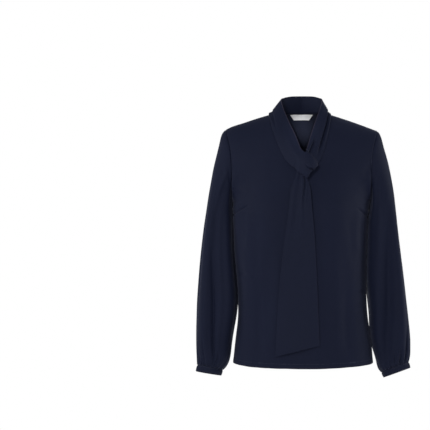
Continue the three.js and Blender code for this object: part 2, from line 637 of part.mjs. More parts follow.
function labelRows() {
  const rows = [];
  for (let r = 0; r <= 4; r += 1) {
    const down = r / 4;
    const half = mix(LABEL.top, LABEL.bottom, down);
    const row = [];
    for (let c = 0; c <= 8; c += 1) {
      const x = mix(-half, half, c / 8);
      const z = necklineZ("back", x) - BACK_NECK_RISE + LABEL.z - LABEL.high * down;
      const u = (x - swingAt(z)) / sideAt(z);
      const inside = CLOTH + 5 * SEAM_GAP + LABEL_CLOTH;
      row.push(bodyPoint("back", u, z).addScaledVector(bodyNormal("back", u, z), -inside));
    }
    rows.push(row);
  }
  return rows.reverse();
}

// Colours and finishes
const CREPE = new THREE.MeshStandardMaterial({ color: 0x1c2233, roughness: 0.82, metalness: 0 });
const LABEL_SATIN = new THREE.MeshStandardMaterial({ color: 0xf2f2f4, roughness: 0.55, metalness: 0 });

function piece(name, geometry, material = CREPE) {
  const mesh = new THREE.Mesh(geometry, material);
  mesh.name = name;
  return mesh;
}

const blouse = new THREE.Group();
blouse.add(piece("front", clothWall(panelRows("front"), CLOTH)));
blouse.add(piece("back", clothWall(panelRows("back"), CLOTH)));
for (const name of ["right", "left"]) {
  blouse.add(piece(`sleeve_${name}`, clothWall(sleeveRows(name), CLOTH, true)));
  blouse.add(piece(`cuff_${name}`, clothWall(cuffRows(name), DOUBLE_CLOTH, true)));
}
blouse.add(piece("tie_right", clothWall(flipped(rightBandRows()), DOUBLE_CLOTH)));
blouse.add(piece("tie_left", clothWall(leftBandRows(), DOUBLE_CLOTH)));
blouse.add(piece("tie_end_under", clothWall(endRows(UNDER_END), DOUBLE_CLOTH)));
blouse.add(piece("neck_label", clothWall(labelRows(), LABEL_CLOTH), LABEL_SATIN));

export default blouse;
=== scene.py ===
import bisect
import math
import random

import bmesh
import bpy
from mathutils import Matrix, Vector, noise
from mathutils.bvhtree import BVHTree


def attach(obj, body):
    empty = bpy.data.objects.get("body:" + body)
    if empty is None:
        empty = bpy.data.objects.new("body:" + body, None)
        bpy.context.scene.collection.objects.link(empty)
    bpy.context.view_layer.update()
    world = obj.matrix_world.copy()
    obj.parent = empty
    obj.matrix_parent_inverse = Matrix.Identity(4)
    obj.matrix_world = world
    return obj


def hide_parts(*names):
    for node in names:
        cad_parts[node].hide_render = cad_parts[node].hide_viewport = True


# A long-sleeved tie neck blouse in navy crepe, filled out as it is worn, with no wearer inside.
# +X is the wearer's left, +Y the back and +Z up, in metres. The origin lies between the two points
# where the shoulder seams meet the neck. Tables are in millimetres, as a cutter's are.
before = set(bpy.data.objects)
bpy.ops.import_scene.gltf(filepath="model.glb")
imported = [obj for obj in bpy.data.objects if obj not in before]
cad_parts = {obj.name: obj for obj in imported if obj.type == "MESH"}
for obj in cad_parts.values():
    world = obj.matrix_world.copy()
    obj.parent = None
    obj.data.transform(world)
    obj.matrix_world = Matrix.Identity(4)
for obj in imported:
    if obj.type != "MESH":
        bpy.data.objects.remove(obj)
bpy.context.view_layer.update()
MM = 0.001

# The studio. The blouse hangs at a standing wearer's height over a plain pale floor, in a dim white
# room, and a level camera two and a half metres away faces its middle. Two soft lamps stand in
# front, one at each side and one behind, and a narrow lamp shines up into the neck.
PHOTO_SIDE = 430  # pixels
PX_AT_SIDE_SEAMS = 2.5 * MM  # metres of blouse to a pixel, at the plane of the side seams
AXIS_PX = (301.5, 235)  # where the blouse's middle shows
SEEN_MIDDLE = (0, -0.3)  # x and z of that middle
EYE_DISTANCE = 2.5
SENSOR = 36.0  # mm
FLOOR_Z = -1.42
FLOOR_RADIUS = 1.9
FLOOR_GREY = (0.86, 0.86, 0.87, 1)


def place_object(name, data):
    """Puts a camera, a lamp or a mesh into the scene."""
    placed = bpy.data.objects.new(name, data)
    bpy.context.scene.collection.objects.link(placed)
    return placed


def mesh_object(name, mesh):
    """Puts a finished bmesh into the scene."""
    data = bpy.data.meshes.new(name)
    mesh.to_mesh(data)
    mesh.free()
    return place_object(name, data)


def aim_at(lamp, place, aim):
    lamp.location = place
    lamp.rotation_euler = (Vector(aim) - Vector(place)).to_track_quat("-Z", "Y").to_euler()


def new_material(name):
    """A material, with its tree and its shader."""
    material = bpy.data.materials.new(name)
    material.use_nodes = True
    return material, material.node_tree, material.node_tree.nodes["Principled BSDF"]


eye = bpy.data.cameras.new("eye")
eye.sensor_width = SENSOR
eye.lens = SENSOR * EYE_DISTANCE / (PHOTO_SIDE * PX_AT_SIDE_SEAMS)
eye.shift_x = (PHOTO_SIDE / 2 - AXIS_PX[0]) / PHOTO_SIDE
eye.shift_y = (AXIS_PX[1] - PHOTO_SIDE / 2) / PHOTO_SIDE
eye_object = place_object("eye", eye)
eye_object.location = (SEEN_MIDDLE[0], -EYE_DISTANCE, SEEN_MIDDLE[1])
eye_object.rotation_euler = (math.radians(90), 0, 0)
bpy.context.scene.camera = eye_object
bpy.context.scene.view_settings.view_transform = "Standard"

ROOM_GLOW = 0.2  # of the white that the camera sees behind the blouse
ROOM_TINT = (0.94, 0.96, 1.0, 1)
room = bpy.data.worlds.new("white_room")
room.use_nodes = True
room_tree = room.node_tree
seen_wall = room_tree.nodes["Background"]
seen_wall.inputs["Color"].default_value = (1, 1, 1, 1)
lit_wall = room_tree.nodes.new("ShaderNodeBackground")
lit_wall.inputs["Color"].default_value = ROOM_TINT
lit_wall.inputs["Strength"].default_value = ROOM_GLOW
wall_choice = room_tree.nodes.new("ShaderNodeMixShader")
eye_ray = room_tree.nodes.new("ShaderNodeLightPath").outputs["Is Camera Ray"]
room_tree.links.new(eye_ray, wall_choice.inputs["Fac"])
room_tree.links.new(lit_wall.outputs[0], wall_choice.inputs[1])
room_tree.links.new(seen_wall.outputs[0], wall_choice.inputs[2])
room_tree.links.new(wall_choice.outputs[0], room_tree.nodes["World Output"].inputs["Surface"])
bpy.context.scene.world = room

# Name, place and width in metres, and watts
SOFT_LIGHTS = [
    ("high_light", (-0.9, -2.5, 0.8), 0.5, 36),
    ("low_light", (0.1, -2.8, -0.45), 0.7, 22),
    ("left_light", (-2.4, -0.6, 0.6), 1.4, 31),
    ("right_light", (2.4, -0.1, 0.3), 1.3, 35),
    ("back_light", (0.3, 2.6, 0.3), 1.6, 66),
]
for name, place, side, watts in SOFT_LIGHTS:
    light = bpy.data.lights.new(name, "AREA")
    light.size = side
    light.energy = watts
    aim_at(place_object(name, light), place, (0, 0, SEEN_MIDDLE[1]))

# The narrow lamp, aimed into the neck so that the inside of the back is seen
NECK_LAMP = (0.0, -2.3, -0.42)
NECK_AIM = (-0.002, 0.06, -0.03)
neck_light = bpy.data.lights.new("neck_light", "SPOT")
neck_light.energy = 115
neck_light.spot_size = 0.042
neck_light.spot_blend = 1.0
neck_light.shadow_soft_size = 0.02
aim_at(place_object("neck_light", neck_light), NECK_LAMP, NECK_AIM)

floor_mesh = bmesh.new()
bmesh.ops.create_circle(floor_mesh, cap_ends=True, segments=96, radius=FLOOR_RADIUS)
bmesh.ops.translate(floor_mesh, verts=floor_mesh.verts, vec=(0, 0, FLOOR_Z))
floor = mesh_object("floor", floor_mesh)
floor_paint, _, floor_shader = new_material("floor_paint")
floor_shader.inputs["Base Color"].default_value = FLOOR_GREY
floor_shader.inputs["Roughness"].default_value = 0.9
floor.data.materials.append(floor_paint)

# The cloth of every navy piece: a matt crepe of hard-twisted yarns, whose surface is a fine
# irregular pebble over the crossing threads. Its folded edges are painted a little lighter: partly
# the wear of pressing and rubbing, partly a painted sheen along the folds.
CREPE_SHADE = (0.0037, 0.0054, 0.0154, 1)
CREPE_LIGHT = (0.0061, 0.0083, 0.0217, 1)
# the paler colour of folded edges: partly wear, partly a painted sheen
CREPE_WEAR_AND_SHEEN = (0.0420, 0.0340, 0.0520, 1)
SAME_SHADE = (1, 1, 1, 1)
PRESSED_PALER = (1.1, 1.08, 1.03, 1)  # how much paler pressing leaves the folded bands
WRONG_SIDE_PAINTED_LIGHTER = (2.8, 2.4, 1.7, 1)  # how much paler the inside is painted: a little for the duller wrong side, mostly painted light
CREPE_GLOSS = 0.09  # hard-twisted yarns scatter nearly all of the light that they send back
CREPE_RELIEF_STRENGTH = 0.55
ROUGHNESS_SPREAD = 0.16
FUZZ_ROUGHNESS = 0.45
FUZZ_TINT = (0.62, 0.68, 1.0, 1)
THREAD_SHARE = 0.2  # how much of the height is threads, next to the pebble
HOLLOW_SHARE = -0.35  # and how deep the hollows between the pebbles go
THREADS_PER_METRE = 1500.0
DRIFTS_PER_METRE = 11.0
DRIFT_IN_TONE = 0.6
HEIGHT_IN_TONE = 0.4
LINK_NUMBER = "NodeSocketFloat"
LINK_VECTOR = "NodeSocketVector"


def feed(tree, socket, value):
    """Links a socket to an output, or sets its own value."""
    if isinstance(value, bpy.types.NodeSocket):
        tree.links.new(value, socket)
    else:
        socket.default_value = value


def add_node(tree, kind, **inputs):
    """A new node of a tree, with values or links given by the names of its inputs."""
    node = tree.nodes.new(kind)
    for name, value in inputs.items():
        feed(tree, node.inputs[name.replace("_", " ")], value)
    return node


def add_math(tree, operation, *values):
    node = tree.nodes.new("ShaderNodeMath")
    node.operation = operation
    for socket, value in zip(node.inputs, values):
        feed(tree, socket, value)
    return node.outputs[0]


def add_mix(tree, share, first, second):
    """Two colours mixed by a share. A mix of colours has them on its inputs 6 and 7."""
    node = tree.nodes.new("ShaderNodeMix")
    node.data_type = "RGBA"
    feed(tree, node.inputs["Factor"], share)
    feed(tree, node.inputs[6], first)
    feed(tree, node.inputs[7], second)
    return node.outputs[2]


def build_group(name, takes, gives):
    """An empty shader node group with named inputs, given as name, kind and value, and outputs."""
    group = bpy.data.node_groups.new(name, "ShaderNodeTree")
    for label, kind, value in takes:
        socket = group.interface.new_socket(label, in_out="INPUT", socket_type=kind)
        if value is not None:
            socket.default_value = value
    for label, kind in gives:
        group.interface.new_socket(label, in_out="OUTPUT", socket_type=kind)
    return group, group.nodes.new("NodeGroupInput").outputs, group.nodes.new("NodeGroupOutput").inputs


def build_crepe_grain():
    """Pebble of the yarns, the threads under it, and the slow drift of the dye."""
    takes = [
        ("Place", LINK_VECTOR, None),
        ("Cut Place", LINK_VECTOR, None),
        ("Pebbles per Metre", LINK_NUMBER, 1100.0),
        ("Threads per Metre", LINK_NUMBER, THREADS_PER_METRE),
    ]
    gives = [("Height", LINK_NUMBER), ("Tone", LINK_NUMBER)]
    group, given, put = build_group("crepe_grain", takes, gives)
    pebble = add_node(
        group, "ShaderNodeTexNoise", Vector=given["Place"], Scale=given["Pebbles per Metre"],
        Detail=2.0, Roughness=0.6,
    )
    knots = add_node(
        group, "ShaderNodeTexVoronoi", Vector=given["Place"], Scale=given["Pebbles per Metre"],
    )
    heights = []
    for direction in ("X", "Y"):
        threads = add_node(
            group, "ShaderNodeTexWave", Vector=given["Cut Place"], Scale=given["Threads per Metre"],
            Distortion=3.0, Detail=1.0,
        )
        threads.bands_direction = direction
        heights.append(threads.outputs["Fac"])
    woven = add_math(group, "MULTIPLY", add_math(group, "ADD", *heights), THREAD_SHARE)
    hollows = add_math(group, "MULTIPLY", knots.outputs["Distance"], HOLLOW_SHARE)
    height = add_math(group, "ADD", woven, add_math(group, "ADD", pebble.outputs["Fac"], hollows))
    drift = add_node(
        group, "ShaderNodeTexNoise", Vector=given["Place"], Scale=DRIFTS_PER_METRE, Detail=3.0,
    )
    drifting = add_math(group, "MULTIPLY", drift.outputs["Fac"], DRIFT_IN_TONE)
    raised = add_math(group, "MULTIPLY", height, HEIGHT_IN_TONE)
    feed(group, put["Height"], height)
    feed(group, put["Tone"], add_math(group, "ADD", drifting, raised))
    return group


crepe_grain = build_crepe_grain()


def add_grain(tree, pebbles):
    """The grain in a material's tree, by the place on the object and by the flat cut."""
    cut = tree.nodes.new("ShaderNodeUVMap")
    cut.uv_map = "cut"
    grain = tree.nodes.new("ShaderNodeGroup")
    grain.node_tree = crepe_grain
    feed(tree, grain.inputs["Place"], tree.nodes.new("ShaderNodeTexCoord").outputs["Object"])
    feed(tree, grain.inputs["Cut Place"], cut.outputs["UV"])
    grain.inputs["Pebbles per Metre"].default_value = pebbles
    return grain.outputs


def add_relief(tree, shader, height, strength, deep):
    """Raises a surface by a height from 0 to 1, deep millimetres at the most."""
    bump = add_node(tree, "ShaderNodeBump", Height=height, Strength=strength, Distance=deep * MM)
    feed(tree, shader.inputs["Normal"], bump.outputs["Normal"])


def build_crepe(name, pebbles, relief, roughness, sheen, paler):
    """Navy crepe. The panels are soft and open, the folded bands pressed smoother."""
    material, tree, shader = new_material(name)
    grain = add_grain(tree, pebbles)
    shades = [
        tuple(part * share for part, share in zip(shade, paler)) for shade in (CREPE_SHADE, CREPE_LIGHT)
    ]
    dyed = add_mix(tree, grain["Tone"], *shades)
    # The mask read here paints the folded edges lighter: partly wear, partly a painted sheen
    wear_and_sheen = tree.nodes.new("ShaderNodeAttribute")
    wear_and_sheen.attribute_name = "wear_and_sheen"
    feed(tree, shader.inputs["Base Color"], add_mix(tree, wear_and_sheen.outputs["Fac"], dyed, CREPE_WEAR_AND_SHEEN))
    matt = add_math(tree, "MULTIPLY_ADD", grain["Tone"], ROUGHNESS_SPREAD, roughness)
    feed(tree, shader.inputs["Roughness"], matt)
    add_relief(tree, shader, grain["Height"], CREPE_RELIEF_STRENGTH, relief)
    shader.inputs["Specular IOR Level"].default_value = CREPE_GLOSS
    shader.inputs["Sheen Weight"].default_value = sheen
    shader.inputs["Sheen Roughness"].default_value = FUZZ_ROUGHNESS
    shader.inputs["Sheen Tint"].default_value = FUZZ_TINT
    return material


# Name, pebbles to a metre, depth of the pebble in millimetres, roughness, sheen and how much paler
crepe = build_crepe("navy_crepe", 1100, 0.16, 0.66, 0.065, SAME_SHADE)
pressed_crepe = build_crepe("navy_crepe_pressed", 1300, 0.12, 0.64, 0.055, PRESSED_PALER)
# The inside faces, painted paler than the cloth is: a little for the duller wrong side, mostly as
# painted light standing in for lamplight that does not reach inside the blouse
crepe_inside_painted_lighter = build_crepe("navy_crepe_wrong_side_painted_lighter", 1100, 0.2, 0.74, 0.07, WRONG_SIDE_PAINTED_LIGHTER)

# The front and back: one panel each, cut wide enough to hang from the bust and shoulder blades to
# a slightly curved hem. They meet at the shoulder and side seams. Each is a single layer, turned
# under twice at the hem, which lies a little proud and puckers along its stitching.
CLOTH = 0.8  # mm
SEAM_HALF_GAP = 0.15
WELD = 0.01
FOLDED_ANGLE = math.radians(60)  # only a sheet's own edges are as sharp as this
SIGN = {"right": -1, "left": 1}
NECK = {"right": 84, "left": 76}
NECK_BLEND = 70
TIP_X, TIP_Z = 187, -39.5
NECK_SEAM_Y, TIP_SEAM_Y = 8, 4
TIP_LIFT = {"rise": 4.2, "x": -178, "wide": 26, "z": -150, "high": 80}
SHOULDER_CROWN = {"right": 3.0, "left": 1.2}  # how far the seam bows up between neck and tip
BACK_NECK_RISE = 13.5
V_DEPTH, V_X = 141, 8
V_BEND = {"right": 2.6, "left": 3.2}
UNDERARM_Z = -215
HEM_SIDE_Z, HEM_DIP = -616, 3
SHOULDER_ROUND = {"front": 110, "back": 78}
ROUNDNESS = {"front": 2.35, "back": 2.25}
ARMHOLE_DEPTH = {"front": 60, "back": 70}
ARMHOLE_CORNER = {"underarm": 24, "above": 8}
ARMHOLE_TOP = 8
CHEST_RISE = 90
FACING = {"front": -1, "back": 1}


def table(names, *rows):
    """Rows of a table, each with its columns by name."""
    return [dict(zip(names.split(), row)) for row in rows]


def mix(a, b, share):
    return a + (b - a) * share


def clamp(value):
    return min(max(value, 0.0), 1.0)


def smooth(share):
    share = clamp(share)
    return share * share * (3 - 2 * share)


def hump(distance):
    return math.exp(-distance * distance)


def curve_through(keys, values):
    """A smooth curve through values, numbers or points, that are read at any key."""
    last = len(keys) - 1
    slopes = []
    for i in range(last + 1):
        a, b = max(i - 1, 0), min(i + 1, last)
        slopes.append((values[b] - values[a]) / (keys[b] - keys[a]))

    def at(key):
        i = min(max(bisect.bisect_right(keys, key) - 1, 0), last - 1)
        step = keys[i + 1] - keys[i]
        t = clamp((key - keys[i]) / step)
        t2, t3 = t * t, t * t * t
        return (
            values[i] * (2 * t3 - 3 * t2 + 1)
            + slopes[i] * (step * (t3 - 2 * t2 + t))
            + values[i + 1] * (3 * t2 - 2 * t3)
            + slopes[i + 1] * (step * (t3 - t2))
        )

    return at


def column(rows, key, name):
    return curve_through([row[key] for row in rows], [row[name] for row in rows])


# Outline by height: half width, how far the front and the back stand out, and the swing sideways
TORSO = table(
    "z side front back swing",
    (-640, 176, 121, 124, 4),
    (-616, 174.3, 121, 123, 3.8),
    (-560, 169, 120, 118, 4.5),
    (-500, 161.5, 119, 108, 3.3),
    (-430, 160.6, 119, 99, 0.6),
    (-340, 164.9, 121, 98, -2.6),
    (-245, 168.6, 121, 106, -2.6),
    (-215, 171, 116, 109, 0),
    (-170, 170.2, 103, 111, 0),
    (-125, 170.8, 88, 110, 0),
    (-90, 174.5, 78, 108, 0),
    (-62, 181.5, 72, 106, 0),
    (-39.5, TIP_X, 68, 104, 0),
    (0, TIP_X, 62, 102, 0),
    (40, TIP_X, 60, 100, 0),
)
side_at = column(TORSO, "z", "side")
swing_at = column(TORSO, "z", "swing")
depth_at = {"front": column(TORSO, "z", "front"), "back": column(TORSO, "z", "back")}
BUST = {"x": 92, "z": -250, "wide": 46, "above": 60, "below": 210, "out": 9}

# Wide soft folds that hang in the body: place, how far each leans on its way down, and its size
HANGING_FOLDS = table(
    "face x lean top end wide out",
    ("front", -124, -4, -235, -590, 15, 4.5),
    ("front", 128, 6, -235, -600, 15, 4.5),
    ("front", -146, 0, -235, -470, 9, -3.0),
    ("front", 149, 4, -240, -480, 9, -3.0),
    ("back", -92, -14, -170, -610, 20, 5.0),
    ("back", 84, 18, -190, -600, 18, 4.5),
    ("back", -30, -8, -330, -615, 22, 3.5),
    ("back", 44, 4, -360, -615, 16, -3.0),
)
# Narrower creases, troughs below nought and ridges above: from x, z to x, z, width and height
CREASES = table(
    "face x z to_x to_z wide out",
    ("front", -131, -226, -127, -345, 7, 2.3),
    ("front", 134, -222, 137, -352, 7, 2.2),
    ("front", -112, -236, -106, -410, 10, -1.9),
    ("front", 118, -240, 122, -395, 9, -1.6),
    ("front", -178, -168, -118, -206, 9, 1.9),
    ("front", 176, -160, 124, -196, 8, 1.6),
    ("front", -176, -128, -146, -170, 7, -1.4),
    ("front", 177, -118, 150, -158, 7, -1.6),
    ("front", -62, -330, -74, -614, 15, 2.8),
    ("front", 70, -300, 88, -610, 13, 2.5),
    ("front", -96, -430, -104, -622, 9, -2.5),
    ("front", 110, -420, 112, -600, 8, -1.9),
    ("front", -156, -392, -112, -412, 6, -1.4),
    ("front", 156, -436, 118, -450, 6, -1.6),
    ("front", 150, -472, 128, -479, 4, -1.2),
    ("front", -30, -440, -38, -622, 12, -1.7),
    ("front", 34, -455, 40, -622, 10, 1.7),
    ("back", -150, -120, -92, -300, 13, 2.4),
    ("back", 152, -130, 100, -280, 12, 2.1),
    ("back", -118, -210, -104, -420, 10, -2.1),
    ("back", 112, -230, 122, -450, 11, -1.9),
    ("back", -10, -250, -4, -520, 16, 1.9),
    ("back", 24, -300, 22, -480, 9, -1.5),
    ("back", -60, -395, 56, -386, 9, -1.6),
    ("back", -84, -425, -20, -418, 7, 1.4),
    ("back", 60, -420, 128, -436, 7, -1.2),
    ("back", -150, -480, -140, -618, 9, 2),
    ("back", 142, -470, 136, -618, 10, 1.9),
    ("back", -60, -500, -66, -622, 10, -1.9),
    ("back", 14, -520, 12, -622, 9, -1.5),
)
# Each bust dart is stitched from the side seam to a point under the bust. The cloth dips into the
# stitching and puffs beside it.
DARTS = table(
    "face x z to_x to_z wide out",
    ("front", -178, -252, -125.5, -228, 2.2, -3.2),
    ("front", -176, -241, -134, -222, 6, 0.8),
    ("front", -176, -263, -132, -241, 7, 0.9),
    ("front", 178, -263, 129, -233, 2.2, -2.4),
    ("front", 176, -252, 138, -228, 6, 0.8),
    ("front", 176, -274, 138, -247, 7, 0.9),
)


def side_of(x):
    return "right" if x < 0 else "left"


def neck_x(x):
    return mix(NECK["right"], NECK["left"], smooth((x + NECK_BLEND) / (2 * NECK_BLEND)))


def shoulder_share(x):
    return (abs(x) - neck_x(x)) / (TIP_X - neck_x(x))


def shoulder_line(x):
    share = shoulder_share(x)
    crown = SHOULDER_CROWN[side_of(x)] * math.sin(math.pi * clamp(share))
    return TIP_Z * share + crown


def seam_y(x, z):
    """The plane between front and back, at the side seam below and the shoulder seam above."""
    shoulder = mix(NECK_SEAM_Y, TIP_SEAM_Y, clamp(shoulder_share(x)))
    return shoulder * smooth((z - UNDERARM_Z) / (TIP_Z - UNDERARM_Z))


def neckline_z(face, x):
    if face == "back":
        return BACK_NECK_RISE * (1 - (x / neck_x(x)) ** 2)
    side = side_of(x - V_X)
    reach = abs(x - V_X) / (neck_x(x - V_X) - SIGN[side] * V_X)
    return -V_DEPTH * (1 - reach ** V_BEND[side])


def shoulder_roll(face, x, z):
    """How much of its depth a face has kept where it rolls over to the shoulder seam."""
    drop = clamp((shoulder_line(x) - z) / SHOULDER_ROUND[face])
    return math.sqrt(1 - (1 - drop) ** 2)


def armhole_out(face, z):
    """How far an armhole's edge stands out of the side seam's plane."""
    high = min(z, TIP_Z - ARMHOLE_TOP)
    share = clamp((high - UNDERARM_Z) / (TIP_Z - UNDERARM_Z))
    return ARMHOLE_DEPTH[face] * 2 * math.sqrt(share * (1 - share)) / shoulder_roll(face, TIP_X, high)


def body_y(face, u, z, folds=True):
    """y of a face at height z, u of the way from the centre line to the side or armhole."""
    x = u * side_at(z)
    seam = seam_y(x, z)
    wide = min(abs(u), 1.0)
    bow = (1 - wide ** ROUNDNESS[face]) ** (1 / ROUNDNESS[face])
    above = smooth((z - UNDERARM_Z) / CHEST_RISE)
    corner = wide ** mix(ARMHOLE_CORNER["underarm"], ARMHOLE_CORNER["above"], above)
    edge = armhole_out(face, z)
    centre = depth_at[face](z) - FACING[face] * seam
    out = 0.0
    if face == "front":
        tall = BUST["below"] if z < BUST["z"] else BUST["above"]
        out += BUST["out"] * hump((abs(x) - BUST["x"]) / BUST["wide"]) * hump((z - BUST["z"]) / tall)
    for fold in HANGING_FOLDS if folds else ():
        if fold["face"] != face or z > fold["top"]:
            continue
        down = clamp((z - fold["top"]) / (fold["end"] - fold["top"]))
        strength = math.sin(math.pi * min(down * 0.85 + 0.02, 1)) * smooth(bow * 3)
        out += fold["out"] * strength * hump((x - fold["x"] - fold["lean"] * down) / fold["wide"])
    depth = mix(centre * bow + edge * corner, mix(centre, edge, wide ** 3), above) + out
    return seam + FACING[face] * (SEAM_HALF_GAP + depth * shoulder_roll(face, x, z))


def tip_lift(point):
    """The right shoulder stands a little higher at its tip."""
    near = hump((point.x - TIP_LIFT["x"]) / TIP_LIFT["wide"])
    return Vector((0, 0, TIP_LIFT["rise"] * near * smooth((point.z - TIP_LIFT["z"]) / TIP_LIFT["high"])))


def body_point(face, u, z, folds=True):
    return Vector((u * side_at(z) + swing_at(z), body_y(face, u, z, folds), z))


def crease_height(creases, face, x, z):
    """How far the creases raise or sink the cloth at x, z. Each fades out at both of its ends."""
    out = 0.0
    for crease in creases:
        if crease["face"] != face:
            continue
        along_x, along_z = crease["to_x"] - crease["x"], crease["to_z"] - crease["z"]
        length = math.hypot(along_x, along_z)
        off_x, off_z = x - crease["x"], z - crease["z"]
        down = (off_x * along_x + off_z * along_z) / length ** 2
        aside = (off_x * along_z - off_z * along_x) / length
        if not -0.1 < down < 1.1 or abs(aside) > 3 * crease["wide"]:
            continue
        fade = smooth(down / 0.3 + 0.1) * smooth((1 - down) / 0.3 + 0.1)
        bend = crease["wide"] * 0.5 * math.sin(3 * down + crease["x"])
        out += crease["out"] * fade * hump((aside + bend * fade) / crease["wide"])
    return out


def unevenness(x, y, z, seed):
    """The small soft rise and fall of cloth that has been worn and pressed, in millimetres."""
    slow = noise.noise(Vector((x / 75 + seed, y / 75, z / 120)))
    quick = noise.noise(Vector((x / 24, y / 24 + seed, z / 42)))
    return 0.9 * slow + 0.28 * quick


def cloth_sheet(name, across, along, place, closed=False, flat=(0.5, 0.5)):
    """A sheet of cloth from a grid: place(s, t) gives a point, a distance out and a share of wear and
    painted sheen.

    The distance is in millimetres, along the sheet's own normal there. A closed sheet is welded
    where s comes round. The grid itself is kept as the flat cut, in metres.
    """
    mesh = bmesh.new()
    cut = mesh.loops.layers.uv.new("cut")
    wear_and_sheen = mesh.verts.layers.float.new("wear_and_sheen")
    bmesh.ops.create_grid(mesh, x_segments=across, y_segments=along, size=0.5, calc_uvs=True)
    for face in mesh.faces:
        for loop in face.loops:
            loop[cut].uv = (loop[cut].uv[0] * flat[0], loop[cut].uv[1] * flat[1])
    rise = mesh.verts.layers.float.new("rise")
    for vert in mesh.verts:
        point, out, share = place(vert.co.x + 0.5, vert.co.y + 0.5)
        vert.co = point * MM
        vert[rise] = out * MM
        vert[wear_and_sheen] = clamp(share)
    if closed:
        bmesh.ops.remove_doubles(mesh, verts=mesh.verts, dist=WELD * MM)
    mesh.normal_update()
    moved = [vert.co + vert.normal * vert[rise] for vert in mesh.verts]
    for vert, co in zip(mesh.verts, moved):
        vert.co = co
    mesh.verts.layers.float.remove(rise)
    for face in mesh.faces:
        face.smooth = True
    return mesh_object(name, mesh)


def thicken(cloth, thickness, material, rounded=0.0, inside=None):
    """Gives a sheet its second side, inwards, and rounds its edges where it is folded there."""
    cloth.data.materials.append(material)
    wall = cloth.modifiers.new("cloth", "SOLIDIFY")
    if inside:
        cloth.data.materials.append(inside)
        wall.material_offset = 1
    wall.thickness = thickness * MM
    wall.offset = -1
    wall.use_quality_normals = True
    if rounded:
        edge = cloth.modifiers.new("folded_edge", "BEVEL")
        edge.width = rounded * MM
        edge.segments = 2
        edge.limit_method = "ANGLE"
        edge.angle_limit = FOLDED_ANGLE


NECK_PART = 0.36  # share of a panel's half width, counted in columns, that ends at the neckline
NECK_CROWDING = {"front": 1.7, "back": 1.0}
EDGE_CROWDING = 1.25
HALF_GIRTH = 245  # mm from the centre line to the side seam, along the cloth
PANEL_ACROSS = 196
SIDE_TURN_COLUMNS = 4  # past each side or armhole edge, where the cloth is turned inside
SIDE_TURN = 0.06  # share of the half panel's columns that the turning lies under
HEM_TURN, HEM_UNDER = 13, 1.1  # height of the turned hem, and how far its inside lies under
HEM_STITCHED = 11  # mm from the hem's edge to its line of stitches
HEM_STANDS = 0.3  # mm that the turned hem lies proud
HEM_PUCKER = {"wide": 5.5, "out": 0.45, "in": 0.35, "reach": 3}
# how much lighter the hem's folded edge is painted: partly wear, partly a painted sheen
HEM_WEAR_AND_SHEEN = 0.1
# Rows of a panel: share of all rows, and the part of the panel that they end
HEM_ROWS, HEM_ZONE_ROWS, LOWER_ROWS, UPPER_ROWS = 6, 12, 108, 72
HEM_ZONE = 22
DART_CROWDING = 1.3  # the rows crowd towards the underarm, where the darts are
SEAM_DIP, SEAM_WIDE = 0.25, 2.0
NECK_FREE = 20  # mm below the neckline where no crease reaches, under the collar


def panel_column(face, across):
    """u and the height of the top edge, for a column from -1 at the right side to 1 at the left."""
    side = side_of(across)
    sign, neck_end = SIGN[side], NECK[side]
    part = 1 - (1 - abs(across)) ** EDGE_CROWDING
    if part < NECK_PART:
        low = V_X if face == "front" else 0
        x = mix(low, sign * neck_end, 1 - (1 - part / NECK_PART) ** NECK_CROWDING[face])
        top = neckline_z(face, x)
        return (x - swing_at(top)) / side_at(top), top, part
    share = (part - NECK_PART) / (1 - NECK_PART)
    u = sign * math.sin(mix(math.asin(neck_end / TIP_X), math.pi / 2, share))
    return u, shoulder_line(u * TIP_X), part


